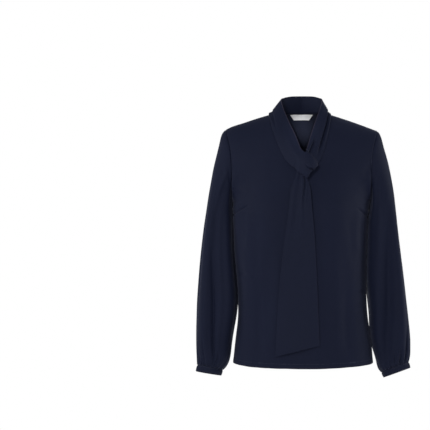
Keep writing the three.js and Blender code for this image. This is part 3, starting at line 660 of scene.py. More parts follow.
def panel_place(face):
    """A panel from its turned hem up to the neck and shoulder, with its folds, creases and darts."""
    total = HEM_ROWS + HEM_ZONE_ROWS + LOWER_ROWS + UPPER_ROWS
    seed = 3.0 if face == "front" else 11.0

    def place(s, t):
        across = (2 * s - 1) * (1 if face == "front" else -1)
        across *= 1 + 2 * SIDE_TURN_COLUMNS / PANEL_ACROSS
        turned_in = max(abs(across) - 1, 0) * PANEL_ACROSS / (2 * SIDE_TURN_COLUMNS)
        turned_in = turned_in if turned_in > 1e-6 else 0.0
        if abs(across) > 1:
            across = math.copysign(1 - SIDE_TURN * turned_in, across)
        u, top, part = panel_column(face, across)
        row = t * total
        hem = HEM_SIDE_Z - HEM_DIP * (1 - u * u)
        under = 0.0
        if row < HEM_ROWS:
            turned = 1 - row / HEM_ROWS
            z = hem + HEM_TURN * turned
            under = HEM_UNDER + 0.4 * turned
        elif row < HEM_ROWS + HEM_ZONE_ROWS:
            z = hem + HEM_ZONE * (row - HEM_ROWS) / HEM_ZONE_ROWS
        elif row < total - UPPER_ROWS:
            rise = (row - HEM_ROWS - HEM_ZONE_ROWS) / LOWER_ROWS
            z = mix(hem + HEM_ZONE, UNDERARM_Z, 1 - (1 - rise) ** DART_CROWDING)
        else:
            rise = (row - total + UPPER_ROWS) / UPPER_ROWS
            z = mix(UNDERARM_Z, top, math.sin(math.pi / 2 * rise))
        point = body_point(face, u, z)
        from_side = (1 - part) * HALF_GIRTH
        from_hem = z - hem
        from_top = top - z
        at_neck = part < NECK_PART
        calm = smooth(from_side / 18) * (smooth((from_top - 4) / NECK_FREE) if at_neck else 1)
        calm *= shoulder_roll(face, point.x, z)
        out = calm * (crease_height(CREASES, face, point.x, z) + unevenness(*point, seed))
        if face == "front":
            out += smooth(from_side / 4) * crease_height(DARTS, face, point.x, z)
        out -= SEAM_DIP * hump(from_side / SEAM_WIDE)
        # the folded hem edge painted a little lighter: wear and painted sheen
        wear_and_sheen = HEM_WEAR_AND_SHEEN * hump(from_hem / 2.5) if row >= HEM_ROWS else 0.0
        if from_hem < HEM_ZONE:
            girth = part * HALF_GIRTH * (1 if u > 0 else -1)
            pucker = noise.noise(Vector((girth / HEM_PUCKER["wide"], seed, 0)))
            beside = hump((from_hem - HEM_STITCHED) / HEM_PUCKER["reach"])
            out += HEM_STANDS * (1 - smooth((from_hem - HEM_TURN + 1) / 2.5))
            out += (HEM_PUCKER["out"] * pucker - HEM_PUCKER["in"]) * beside
        if row < HEM_ROWS or turned_in:
            around = Vector((point.x * 0.55, point.y, 0)).normalized()
            point -= around * (under + 1.2 * smooth(3 * turned_in))
            out = 0.0
        return point + tip_lift(point), out, wear_and_sheen

    return place


PANEL_GRID = (PANEL_ACROSS + 2 * SIDE_TURN_COLUMNS, HEM_ROWS + HEM_ZONE_ROWS + LOWER_ROWS + UPPER_ROWS)
front = cloth_sheet("front_cloth", *PANEL_GRID, panel_place("front"), flat=(0.49, 0.69))
back = cloth_sheet("back_cloth", *PANEL_GRID, panel_place("back"), flat=(0.49, 0.70))
for cloth, node, flat, area in (
    (front, "front", (0.50, 0.69), 0.26),
    (back, "back", (0.50, 0.70), 0.275),
):
    thicken(cloth, CLOTH, crepe, inside=crepe_inside_painted_lighter)
    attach(cloth, "root")
    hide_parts(node)

# The sleeves: one layer of the crepe each, set into the armholes with a little ease and sewn up by
# one seam inside the arm. They are full below the elbow, where the cloth falls in long folds and is
# gathered into the cuff.
SLEEVE_AROUND, SLEEVE_ALONG = 168, 150
# Rings down a sleeve: where each is widest outside and inside, half its depth, how far back its
# middle lies, and how much higher its front is
RING_NAMES = "out_x out_z in_x in_z deep y lift"
SLEEVE_TOP = (TIP_X, TIP_Z, 171, UNDERARM_Z, 65, 4, 0)
SLEEVES = {
    "right": table(
        RING_NAMES,
        SLEEVE_TOP,
        (194, -45, 171.5, -216, 65, 4, 0),
        (200, -56, 171.5, -218, 64.5, 4, 0),
        (205.5, -76, 171.5, -221, 63.5, 3, 0),
        (212, -103, 171.5, -225, 62, 3, 0),
        (219, -134, 171.3, -230, 60, 2, 0),
        (225.5, -170, 171.4, -238, 59, 2, 0),
        (232, -208, 171.2, -250, 58, 1, 0),
        (239, -253, 170.6, -272, 57, 0, 0),
        (246, -303, 169.3, -308, 57, -2, 0),
        (251.5, -352, 166.8, -352, 57, -4, 0),
        (255.5, -402, 162.3, -402, 57, -6, 0),
        (258.5, -450, 159.2, -450, 57, -8, 0),
        (260, -496, 162.6, -498, 56, -10, 0),
        (260.2, -535, 168.6, -538, 54, -12, 1),
        (260, -566, 173.5, -571, 51, -13, 2),
        (259, -588, 176.5, -596, 47, -14, 3),
        (258, -604, 181, -614, 42, -15, 4),
        (257.5, -615, 188, -627, 36.5, -16, 5),
        (257.5, -622, 195, -634, 33, -16, 6),
    ),
    "left": table(
        RING_NAMES,
        SLEEVE_TOP,
        (192.5, -46, 171.4, -216, 65, 4, 0),
        (197.5, -60, 171.2, -218, 64.5, 4, 0),
        (203, -80, 170.7, -221, 63.5, 3, 0),
        (210, -106, 170, -225, 62, 3, 0),
        (217, -137, 169.2, -230, 60, 2, 0),
        (223.5, -170, 168.1, -238, 59, 2, 0),
        (229.5, -206, 166.2, -250, 58, 1, 0),
        (235.5, -252, 164.6, -272, 58, 0, 0),
        (242, -300, 163.4, -304, 58, -2, 0),
        (249, -348, 162.1, -352, 58, -4, 0),
        (256, -396, 161.3, -398, 58, -6, 0),
        (261.5, -444, 164.8, -446, 58, -8, 0),
        (266, -490, 168.8, -494, 57, -10, 0),
        (269, -528, 171, -536, 55, -12, 1),
        (269.8, -558, 176, -570, 52, -13, 2),
        (269.6, -580, 183, -598, 48, -14, 3),
        (268.5, -597, 187, -618, 43, -15, 4),
        (266.5, -608, 191.5, -632, 37, -16, 5),
        (265, -615, 198, -640, 33, -16, 6),
    ),
}
LAST_RING = 19
# Long folds: angle round the arm at the top and at the bottom, from the outside (0) by the front,
# the rings that it runs between, its width in degrees and how far it stands out
FOLD_NAMES = "top bottom start end wide out"
SLEEVE_FOLDS = {
    "right": table(
        FOLD_NAMES,
        (136, 142, 0.5, 8, 9, -2.4),
        (126, 126, 7, 15.5, 11, 3.2),
        (160, 162, 7.5, 15, 13, -5),
        (214, 214, 1.5, 9, 15, 4),
        (214, 214, 5, 14.5, 15, 4),
        (80, 96, 6, 18, 14, -3.4),
        (76, 103, 9.5, 18.9, 4.6, -6.5),
        (54, 62, 5, 18, 11, 3.2),
        (98, 108, 7, 17, 9, 2.4),
        (262, 256, 2, 16, 18, -6),
        (310, 318, 6, 17, 14, -4),
        (34, 30, 6, 15, 8, -2.6),
        (20, 24, 12, 18.8, 5, -2.0),
        (96, 76, 2, 7.5, 8, 2.2),
        (58, 66, 14, 19, 3.8, -3.0),
        (112, 106, 15.5, 19, 3.6, -2.8),
        (40, 36, 15.8, 19, 3.4, -2.6),
        (238, 232, 8, 18, 8, 2.6),
        (246, 250, 12, 18.9, 5, -2.4),
        (284, 288, 7, 18, 9, 2.8),
        (338, 334, 9, 18.5, 8, -2.4),
        (216, 222, 14.5, 19, 4, -2.6),
    ),
    "left": table(
        FOLD_NAMES,
        (138, 142, 0.5, 8, 9, -2.2),
        (0, 0, 0, 9, 40, 2.6),
        (0, 0, 9, 15, 40, -2.6),
        (64, 126, 6.5, 18.7, 15, -10),
        (94, 134, 4, 16, 10, 3.8),
        (40, 72, 6, 18, 11, 5.6),
        (42, 49, 13.5, 19, 4, -7),
        (68, 71, 15.4, 19, 3.6, -5.5),
        (20, 24, 8, 17, 9, -2.4),
        (88, 92, 15.8, 19, 3.2, -2.4),
        (57, 60, 16, 19, 2.8, 1.6),
        (214, 214, 1.5, 9, 15, 4),
        (214, 214, 5, 14.5, 15, 4),
        (180, 180, 13, 16.6, 26, 2.6),
        (270, 262, 2, 16, 18, -6),
        (312, 320, 6, 17, 14, -4),
        (244, 250, 8, 18, 8, 2.4),
        (254, 258, 12.5, 18.9, 5, -2.6),
        (292, 290, 7, 18, 9, 2.8),
        (342, 338, 9, 18.6, 7, -2.6),
    ),
}
GATHERS = 34
GATHER_SEED = {"right": 5, "left": 8}
ARMHOLE_RINGS = 7
SLEEVE_OFF = 0.1  # from the armhole's edge
SLEEVE_SEAM = {"dip": 0.7, "wide": 1.3, "pucker": 0.55, "pucker_wide": 3.2, "reach": 5}
ARM_SEAM = {"angle": 186, "dip": 0.35, "wide": 1.6}
FILLING = {"from": 13, "over": 5}  # the rings in which the sleeve fills out towards its gathers
FILLED_OUT = 1.2
GATHER_REACH = 16  # degrees to each side of a gather
FRONT_FLATNESS = 0.62  # below 1, the front of the cuffed end is flatter than an oval's
# How square the rest of the sleeve is on its outer and inner side; 2 is an oval
SQUARE = {"front": (2.6, 4.2), "back": (2.0, 3.6)}
EASE = {"out": 1.1, "down": 11, "wide": 9}  # the sleeve head's fullness beyond its seam


def turn_distance(a, b):
    return abs((a - b + 540) % 360 - 180)


def seam_across(sign, z):
    """The way out of the armhole's edge, square to it."""
    return Vector((sign, 0, side_at(z - 1) - side_at(z + 1))).normalized()


def armhole_point(sign, angle):
    z = mix(UNDERARM_Z, TIP_Z, (1 + math.cos(angle)) / 2)
    face = "front" if math.sin(angle) >= 0 else "back"
    y = seam_y(TIP_X, z) if abs(math.sin(angle)) < 1e-6 else body_y(face, 1, z)
    return Vector((sign * side_at(z), y, z)) + seam_across(sign, z) * SLEEVE_OFF


def ring_point(sign, ring, angle, square=0.0):
    side, turn = math.cos(angle), math.sin(angle)
    outer, inner = SQUARE["front" if turn > 0 else "back"]
    power = mix(outer, inner, smooth((1 - side) / 1.6))
    swell = (abs(side) ** power + abs(turn) ** power) ** (-1 / power)
    plain = turn ** FRONT_FLATNESS if turn > 0 else turn
    along = (1 + mix(side, side * swell, square)) / 2
    turn = mix(plain, turn * swell, square)
    x = mix(ring["in_x"], ring["out_x"], along)
    z = mix(ring["in_z"], ring["out_z"], along)
    return Vector((sign * (x + SLEEVE_OFF), ring["y"] - ring["deep"] * turn, z + ring["lift"] * turn))


def ring_reader(rings):
    """The sleeve's ring at any place along it, counted in rings, and the place at any length."""
    keys = list(range(len(rings)))
    read = {name: curve_through(keys, [ring[name] for ring in rings]) for name in rings[0]}
    lengths = [0.0]
    for a, b in zip(rings, rings[1:]):
        outer = math.hypot(b["out_x"] - a["out_x"], b["out_z"] - a["out_z"])
        inner = math.hypot(b["in_x"] - a["in_x"], b["in_z"] - a["in_z"])
        lengths.append(lengths[-1] + (outer + inner) / 2)

    def ring_at(k):
        return {name: curve(k) for name, curve in read.items()}

    def place_at(length):
        i = min(bisect.bisect_right(lengths, length), len(lengths) - 1)
        return i - 1 + clamp((length - lengths[i - 1]) / (lengths[i] - lengths[i - 1]))

    return ring_at, place_at, lengths[-1]


def gathers_of(name):
    """Small pleats that the cuff holds, each with its own place, width, depth and length."""
    draw = random.Random(GATHER_SEED[name])
    return [
        {
            "at": 360 * (i + draw.uniform(-0.3, 0.3)) / GATHERS,
            "wide": draw.uniform(1.8, 3.4),
            "deep": draw.uniform(1.0, 2.8),
            "start": draw.uniform(14.2, 17.8),
        }
        for i in range(GATHERS)
    ]


def sleeve_place(name):
    """A sleeve from its cuff up to the armhole, whose edge its last rings follow."""
    sign = SIGN[name]
    ring_at, place_at, length = ring_reader(SLEEVES[name])
    gathers = gathers_of(name)
    top_ring = SLEEVES[name][0]
    read = {}

    def ring_of(k):
        if k not in read:
            read[k] = ring_at(k)
        return read[k]

    def place(s, t):
        degrees = (180 - 360 * s * sign) % 360
        angle = math.radians(degrees)
        k = place_at((1 - t) * length)
        ring = ring_of(k)
        filling = smooth((k - FILLING["from"]) / FILLING["over"])
        point = ring_point(sign, ring, angle, 1 - filling)
        shift = armhole_point(sign, angle) - ring_point(sign, top_ring, angle, 1.0)
        point += shift * (1 - smooth(k / ARMHOLE_RINGS))
        out = 0.0
        for fold in SLEEVE_FOLDS[name]:
            down = (k - fold["start"]) / (fold["end"] - fold["start"])
            if 0 < down < 1:
                off = turn_distance(degrees, mix(fold["top"], fold["bottom"], down))
                out += fold["out"] * math.sin(math.pi * down) * hump(off / fold["wide"])
        for gather in gathers:
            off = turn_distance(degrees, gather["at"])
            if k > gather["start"] and off < GATHER_REACH:
                share = (k - gather["start"]) / (LAST_RING - gather["start"])
                width = gather["wide"] * mix(1.5, 1, share)
                out -= gather["deep"] * smooth(share) * hump(off / width)
        out += FILLED_OUT * filling
        inside = smooth((turn_distance(degrees, 180) - 8) / 30)
        from_seam = (1 - t) * length
        out += inside * smooth(from_seam / 14) * unevenness(*point, 17 + sign)
        pucker = noise.noise(Vector((degrees / SLEEVE_SEAM["pucker_wide"], sign, 0)))
        reach = SLEEVE_SEAM["reach"]
        out += SLEEVE_SEAM["pucker"] * pucker * hump((from_seam - reach) / reach)
        out -= SLEEVE_SEAM["dip"] * hump(from_seam / SLEEVE_SEAM["wide"])
        head = smooth((turn_distance(degrees, 180) - 60) / 60)
        out += EASE["out"] * head * hump((from_seam - EASE["down"]) / EASE["wide"])
        out -= ARM_SEAM["dip"] * hump(turn_distance(degrees, ARM_SEAM["angle"]) / ARM_SEAM["wide"])
        return point + tip_lift(point), out, 0.0

    return place


for name in SLEEVES:
    sleeve = cloth_sheet(
        f"sleeve_{name}_cloth", SLEEVE_AROUND, SLEEVE_ALONG, sleeve_place(name), closed=True,
        flat=(0.38, 0.58),
    )
    thicken(sleeve, CLOTH, crepe, inside=crepe_inside_painted_lighter)
    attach(sleeve, "root")
    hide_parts(f"sleeve_{name}")

# The cuffs: a narrow closed band each, of the same crepe pressed smooth. Each is cut double, folded
# along its lower edge and sewn over the sleeve's gathers.
CUFF_CLOTH = 2.0
CUFF_ALONG = 14
CUFF_ENDS = table(
    RING_NAMES,
    (262, -638.5, 199, -649, 33, -17, 6),
    (270, -630, 203.5, -654, 33, -17, 6),
)
CUFFS = dict(zip(("right", "left"), CUFF_ENDS))
CUFF_CRUMPLE = {"wide": 9, "out": 0.45}
CUFF_FULLNESS = 0.9
CUFF_SEAM = {"down": 0.13, "wide": 0.07, "dip": 0.5}
CUFF_STITCHED = 0.82  # share of the cuff's height, from its lower edge, at its line of stitches
# how much lighter the cuff's folded lower edge is painted: partly wear, partly a painted sheen
CUFF_WEAR_AND_SHEEN = 0.14


def cuff_place(name):
    """A cuff from its folded lower edge up to the gathers."""
    sign = SIGN[name]
    top, bottom = SLEEVES[name][-1], CUFFS[name]
    drop = math.hypot(top["out_x"] - bottom["out_x"], top["out_z"] - bottom["out_z"])

    def place(s, t):
        degrees = (180 - 360 * s * sign) % 360
        down = mix(2 * SLEEVE_OFF / drop, 1, 1 - t)
        ring = {key: mix(top[key], bottom[key], down) for key in top}
        point = ring_point(sign, ring, math.radians(degrees))
        crumple = noise.noise(Vector((degrees / CUFF_CRUMPLE["wide"], down * 1.5, 31 + sign)))
        out = CUFF_CRUMPLE["out"] * crumple * smooth(down * 3)
        out += CUFF_FULLNESS * math.sin(math.pi * clamp(down)) - 0.3
        out -= CUFF_SEAM["dip"] * hump((down - CUFF_SEAM["down"]) / CUFF_SEAM["wide"])
        # the folded lower edge painted lighter: wear and painted sheen
        return point, out, CUFF_WEAR_AND_SHEEN * hump((1 - down) / 0.12)

    return place


cuffs = {}
for name in CUFFS:
    cuffs[name] = cloth_sheet(
        f"cuff_{name}_cloth", SLEEVE_AROUND, CUFF_ALONG, cuff_place(name), closed=True,
        flat=(0.2, 0.034),
    )
    thicken(cuffs[name], CUFF_CLOTH, pressed_crepe, rounded=0.5)
    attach(cuffs[name], "root")
    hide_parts(f"cuff_{name}")

# The tie collar: two bands cut double and folded along their free edge, joined at the centre back
# and sewn to the neckline down the V, then tied. The wearer's right band wraps over the left one as
# the knot, and the left one's end hangs down the front.
BAND_CLOTH = 2.0
BAND_ACROSS = 64
SEWN_OFF = 1.02
# The folded edge of each band above the knot, by the share of its sewn length
FREE_EDGE = {
    "right": table(
        "t x y z",
        (0, 0, 59, 55),
        (0.12, -29, 52.5, 53),
        (0.25, -46, 34, 47),
        (0.37, -51.5, 8, 39),
        (0.5, -46, -20, 17),
        (0.66, -32, -42, -18),
        (0.83, -15, -69, -56),
        (1, -2, -96, -91),
    ),
    "left": table(
        "t x y z",
        (0, 0, 59, 55),
        (0.12, 29, 52.5, 53),
        (0.25, 46, 34, 47),
        (0.37, 52, 8, 39),
        (0.5, 47, -20, 17),
        (0.7, 34, -42, -20),
        (0.86, 22, -62, -58),
        (1, 13, -84, -90),
    ),
}
SEWN_TO = {"right": -17, "left": 42}
BAND_BULGE = {"right": 5, "left": 4}
NECK_MIDDLE_Y = 20  # the bands bulge away from here
WRAP_OFF = {"right": 13, "left": 0}  # how far the wrapping band has left the chest at the knot
WRAP_DROP = {"right": 8, "left": 0}  # and how far it hangs over the neckline there
# Folds along a band: the stretch of it that each runs down, its place across the band at both ends,
# counted from the sewn edge, its width, and how far it stands out
BAND_FOLDS = {
    "right": table(
        "start end at to wide out",
        (0.24, 0.60, 0.10, 0.16, 0.055, 3.2),
        (0.28, 0.66, 0.24, 0.28, 0.06, -2.4),
        (0.70, 1.40, 0.66, 0.52, 0.16, 1.4),
    ),
    "left": table(
        "start end at to wide out",
        (0.28, 1.00, 0.25, 0.29, 0.070, -8.5),
        (0.34, 0.90, 0.12, 0.14, 0.05, 1.6),
        (0.36, 0.92, 0.42, 0.45, 0.07, 2.4),
        (0.84, 1.14, 0.68, 0.84, 0.055, -6.5),
        (0.80, 1.14, 0.82, 0.96, 0.05, 1.6),
    ),
}
# Past the neckline: the wrapped band's lower and upper edge, how far it bulges, and the crease that
# parts its two lobes, by its place across the band and its depth
TIED_RIGHT = table(
    "low high bulge notch deep",
    ((-9, -110, -150), (6, -104, -100), 5.5, 0.5, 0),
    ((3, -113.5, -156), (14, -106.5, -102.5), 6.5, 0.48, 0.5),
    ((13.5, -114, -164), (22, -108, -108), 7, 0.42, 3.2),
    ((21, -113, -152.5), (29, -108, -115.5), 6.5, 0.26, 7.0),
    ((27.5, -112, -145), (34, -107.5, -122.5), 5, 0.07, 6.0),
    ((34, -109, -139.5), (37.8, -106, -127.5), 3.5, 0, 1.5),
    ((40, -102, -134), (40.5, -101, -130.5), 1, 0, 0),
    ((39, -94.5, -133.5), (39.5, -94, -129), 0, 0, 0),
    ((31, -93.1, -136), (32, -92.6, -127), 0, 0, 0),
)
# Where the knot holds the left band: its lower and upper edge, and how far it bulges
THROAT = table(
    "low high bulge",
    ((38, -97.8, -128), (12, -94.5, -97), 0),
    ((33, -101, -134), (4, -100, -109), 0),
    ((26, -103.8, -146), (-6, -103, -127), 0),
)
# The hanging ends: by height, both edges and how far off the chest, then the heights of the two
# corners of the slanting cut
FRONT_END = {
    "edges": table(
        "z left right off",
        (-160, 12.5, -15, 7.6),
        (-176, 18, -21.5, 9.5),
        (-192, 21.8, -26.5, 9.8),
        (-219, 23.7, -28.5, 9.2),
        (-245, 26, -31, 8.4),
        (-290, 30.4, -37.5, 7.2),
        (-359, 34.8, -46.5, 6.3),
        (-451, 39, -55, 6.4),
        (-590, 44.2, -62.7, 6.4),
    ),
    "corners": (-563, -590),
    "rows": 40,
}
UNDER_END = {
    "edges": table(
        "z left right off",
        (-166, 12, -13, 3),
        (-192, 17, -20, 3),
        (-245, 21, -26, 3),
        (-359, 29, -40, 3),
        (-590, 38, -56, 3),
    ),
    "corners": (-548, -574),
    "rows": 30,
}
# Folds that fan out of the knot: place across the end at the knot and lower down, how far down they
# reach, width, and how far they stand out. The hidden end lies flat.
END_FOLDS = table(
    "top low reach wide out",
    (0.38, 0.45, 100, 0.08, 1.7),
    (0.21, 0.38, 60, 0.040, -3.0),
    (0.12, 0.26, 60, 0.05, 0.9),
    (0.62, 0.70, 120, 0.07, -0.6),
    (0.84, 0.90, 150, 0.08, 0.5),
)
# Painted lighter, partly for rubbing and partly as a painted highlight: the bands' free edges
# above the knot, and a trace along the sewn ones
WEAR_AND_SHEEN_EDGE = {"free": 0.85, "free_wide": 0.018, "z": -99, "fade": 12, "sewn": 0.05, "sewn_wide": 0.02}
BAND_UNEVEN = {"wide": 26, "out": 0.35}
BAND_SEAM = {"dip": 0.5, "wide": 0.012}


def neck_edge(face, x):
    z = neckline_z(face, x)
    return body_point(face, (x - swing_at(z)) / side_at(z), z)


def neckline_frames(face, xs):
    """Points of a neckline, with the way out of the cloth there and the way on past its edge."""
    frames = []
    for x in xs:
        point = neck_edge(face, x)
        along = neck_edge(face, x + 0.5) - neck_edge(face, x - 0.5)
        z = point.z
        up = point - body_point(face, (x - swing_at(z)) / side_at(z), z - 2)
        out = (along.cross(up) * -FACING[face]).normalized()
        on = along.cross(out).normalized()
        frames.append((point, out, on if on.dot(up) > 0 else -on))
    return frames


def sewn_neckline(name):
    """The stretch of neckline that a band is sewn to, from the centre back to the V."""
    sign = SIGN[name]
    reach, end = NECK[name] - 0.6, SEWN_TO[name] * sign
    back = [sign * reach * math.sin(math.pi / 2 * i / 10) for i in range(11)]
    front = [sign * mix(reach, end, smooth(i / 13) * 0.35 + 0.65 * (i / 13)) for i in range(14)]
    back[0] = sign * 0.5
    return neckline_frames("back", back) + neckline_frames("front", front)


def lengths_along(points, least=0.0):
    """How far along a path each of its points lies, with no step shorter than the least."""
    lengths = [0.0]
    for a, b in zip(points, points[1:]):
        lengths.append(lengths[-1] + max((b - a).length, least))
    return lengths


def arch(w):
    return 4 * w * (1 - w)


def calm_edges(w):
    return smooth(w * 6) * smooth((1 - w) * 6)


def fold_lift(folds, t, w):
    lift = 0.0
    for fold in folds:
        down = (t - fold["start"]) / (fold["end"] - fold["start"])
        if 0 < down < 1:
            strength = smooth(down / 0.22) * smooth((1 - down) / 0.3)
            lift += fold["out"] * strength * hump((w - mix(fold["at"], fold["to"], down)) / fold["wide"])
    return lift * calm_edges(w)


def band_row(low, high, out, lift):
    return [
        low.lerp(high, s / BAND_ACROSS) + out * lift(s / BAND_ACROSS) for s in range(BAND_ACROSS + 1)
    ]


def sewn_edges(name):
    """Where a band is sewn on: its sewn and free edge, the way out there, and the seam's place."""
    base = sewn_neckline(name)
    rows = FREE_EDGE[name]
    free_edge = curve_through([row["t"] for row in rows],
                              [Vector((row["x"], row["y"], row["z"])) for row in rows])
    lengths = lengths_along([point for point, _, _ in base])
    edges = []
    for i, (point, out, on) in enumerate(base):
        t = lengths[i] / lengths[-1]
        high, low = free_edge(t), point + on * SEWN_OFF
        if i == 0:
            high.x = low.x = SEAM_HALF_GAP * SIGN[name]
        sideways = Vector((low.x + high.x, low.y + high.y - 2 * NECK_MIDDLE_Y, 0)).normalized()
        leaving = smooth((t - 0.72) / 0.28)
        low += out * WRAP_OFF[name] * leaving + Vector((0, 0, -WRAP_DROP[name] * leaving))
        edges.append((t, low, high, sideways, point, out, on))
    return edges


def sewn_rows(name):
    """Rows across a band where it is sewn to the neckline."""
    rows = []
    for t, low, high, sideways, _, _, _ in sewn_edges(name):
        bulge = BAND_BULGE[name] * smooth((t - 0.42) / 0.25)
        rows.append(band_row(low, high, sideways,
                             lambda w: bulge * arch(w) + fold_lift(BAND_FOLDS[name], t, w)))
    return rows


def wrapped_row(tied):
    """Across the wrapped band, which a crease parts into two lobes on the far side of the knot."""
    def lift(w):
        off = w - tied["notch"]
        lobes = 0.1 * (hump((off - 0.2) / 0.12) + hump((off + 0.2) / 0.12))
        cut_in = tied["deep"] * (lobes - hump(off / 0.05)) * smooth(w * 12 + 0.4) * smooth(12 * (1 - w))
        return tied["bulge"] * arch(w) + cut_in

    return band_row(Vector(tied["low"]), Vector(tied["high"]), Vector((0, -1, 0)), lift)


def finer(rows, steps):
    """More rows between those of a table, on smooth curves through them."""
    keys = list(range(len(rows)))
    curves = {
        name: curve_through(keys, [
            Vector(row[name]) if isinstance(row[name], tuple) else row[name] for row in rows
        ])
        for name in rows[0]
    }
    return [
        {name: curve(i / steps) for name, curve in curves.items()}
        for i in range((len(rows) - 1) * steps + 1)
    ]


def throat_row(tied, t):
    """Across the left band where the knot holds it."""
    def lift(w):
        return tied["bulge"] * arch(w) + fold_lift(BAND_FOLDS["left"], t, w)

    return band_row(Vector(tied["low"]), Vector(tied["high"]), Vector((0, -1, 0)), lift)


def end_rows(end, folds):
    """Rows down a hanging end, which hangs clear of the chest and is cut off at a slant."""
    keys = [-row["z"] for row in end["edges"]]
    read = {
        name: curve_through(keys, [row[name] for row in end["edges"]])
        for name in ("left", "right", "off")
    }
    top = end["edges"][0]["z"]
    rows = []
    for r in range(end["rows"] + 1):
        down = (r / end["rows"]) ** 1.15
        row = []
        for s in range(BAND_ACROSS + 1):
            w = s / BAND_ACROSS
            z = mix(mix(top, end["corners"][0], down), mix(top, end["corners"][1], down), w)
            x = mix(read["left"](-z), read["right"](-z), w)
            wave = 0.0
            for fold in folds:
                reach = (top - z) / fold["reach"]
                at = mix(fold["top"], fold["low"], smooth(reach))
                wave += fold["out"] * smooth(1.6 - reach) * hump((w - at) / fold["wide"])
            chest = body_y("front", (x - swing_at(z)) / side_at(z), z, folds=False)
            drift = 0.8 * noise.noise(Vector((x / 30, z / 90, 41))) * arch(w)
            row.append(Vector((x, chest - read["off"](-z) - wave * calm_edges(w) + drift, z)))
        rows.append(row)
    return rows


def lines_along(rows):
    """Smooth lines down a sheet's rows of points, and how long its middle is."""
    middle = len(rows[0]) // 2
    keys = lengths_along([row[middle] for row in rows], least=0.5)
    return [curve_through(keys, line) for line in zip(*rows)], keys[-1]


def band_place(rows, turned):
    """Reads a smooth sheet through the rows. A turned one starts at its free edge."""
    lines, length = lines_along(rows)

    def place(s, t):
        w = 1 - s if turned else s
        point = lines[round(w * BAND_ACROSS)](t * length)
        # painted highlight and wear: the free edge is made lighter above the knot, the sewn edge a trace
        wear_and_sheen = WEAR_AND_SHEEN_EDGE["free"] * hump((1 - w) / WEAR_AND_SHEEN_EDGE["free_wide"])
        wear_and_sheen *= smooth((point.z - WEAR_AND_SHEEN_EDGE["z"]) / WEAR_AND_SHEEN_EDGE["fade"])
        wear_and_sheen += WEAR_AND_SHEEN_EDGE["sewn"] * hump(w / WEAR_AND_SHEEN_EDGE["sewn_wide"])
        out = BAND_UNEVEN["out"] * noise.noise(point / BAND_UNEVEN["wide"]) * calm_edges(w)
        return point, out - BAND_SEAM["dip"] * hump(w / BAND_SEAM["wide"]), wear_and_sheen

    return place


right_rows = sewn_rows("right") + [wrapped_row(row) for row in finer(TIED_RIGHT, 5)]
throat_rows = [throat_row(row, 1.05 + 0.08 * i) for i, row in enumerate(THROAT)]
left_rows = sewn_rows("left") + throat_rows + end_rows(FRONT_END, END_FOLDS)
under_rows = end_rows(UNDER_END, ())
for name, node, rows, along, turned, flat, area in (
    ("tie_right_band", "tie_right", right_rows, 250, True, (0.34, 0.075), 0.0155),
    ("tie_left_band", "tie_left", left_rows, 330, False, (0.80, 0.11), 0.045),
    ("tie_under_band", "tie_end_under", under_rows, 120, False, (0.42, 0.095), 0.0262),
):
    band = cloth_sheet(name, BAND_ACROSS, along, band_place(rows, turned), flat=(flat[1], flat[0]))
    thicken(band, BAND_CLOTH, pressed_crepe, rounded=0.6)
    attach(band, "root")
    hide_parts(node)

# The collar seam's turnings: the raw edges of the neckline and of both bands, trimmed, laid together
# and pressed up inside the folded bands. They run from the knot round the back to the knot again.
TURNING_ACROSS, TURNING_ALONG = 8, 260
TURNING_DOWN, TURNING_UP = 6.2, 4.0  # mm to each side of the seam
TURNING_INSIDE = {"foot": 1.15, "seam": 1.0, "tip": 0.9}  # mm inside the cloth's outer face
TURNING_CLOTH = 0.5


def turning_rows():
    """Across the turnings, from inside the panels to inside the bands."""
    rows = []
    left, right = sewn_edges("left"), sewn_edges("right")
    for t, low, high, _, point, out, on in left[:0:-1] + right:
        up = (high - low).normalized()
        inward = -out
        foot = point - on * TURNING_DOWN + inward * TURNING_INSIDE["foot"]
        seam = point + on * 0.3 + inward * TURNING_INSIDE["seam"]
        tip = point + on * SEWN_OFF + up * TURNING_UP + inward * TURNING_INSIDE["tip"]
        rows.append([foot, foot.lerp(seam, 0.5), seam, seam.lerp(tip, 0.5), tip])
    return rows


def turning_place():
    lines, length = lines_along(turning_rows())

    def place(s, t):
        across = curve_through(list(range(len(lines))), [line(t * length) for line in lines])
        point = across((len(lines) - 1) * (1 - s))
        return point, 0.1 * noise.noise(point / 6), 0.0

    return place


turning = cloth_sheet(
    "collar_seam_turning", TURNING_ACROSS, TURNING_ALONG, turning_place(), flat=(0.0105, 0.60),
)
thicken(turning, TURNING_CLOTH, crepe)
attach(turning, "root")

# The stitching: navy sewing thread in short lockstitches, sunk a little into the cloth. It runs along
# the turned hem and under the top edge of each cuff.
THREAD_THICK = 0.42  # mm
STITCH = {"hem": 3.0, "cuff": 2.4}  # mm from one stitch to the next
STITCH_GAP = 0.22  # share of that length between two stitches
STITCH_SUNK = 0.1  # mm
TWISTS_PER_METRE = 900.0
THREAD_NAVY = (0.020, 0.023, 0.042, 1)
THREAD_LIGHT = (0.040, 0.044, 0.070, 1)


def build_thread(name, dark, light):
    """Twisted thread: fine slanting ridges, with the light catching their crowns."""
    material, tree, shader = new_material(name)
    place = tree.nodes.new("ShaderNodeTexCoord").outputs["Object"]
    twist = add_node(
        tree, "ShaderNodeTexWave", Vector=place, Scale=TWISTS_PER_METRE, Distortion=1.5,
    )
    twist.bands_direction = "DIAGONAL"
    ridges = twist.outputs["Fac"]
    feed(tree, shader.inputs["Base Color"], add_mix(tree, ridges, dark, light))
    add_relief(tree, shader, ridges, 0.5, 0.08)
    shader.inputs["Roughness"].default_value = 0.5
    return material


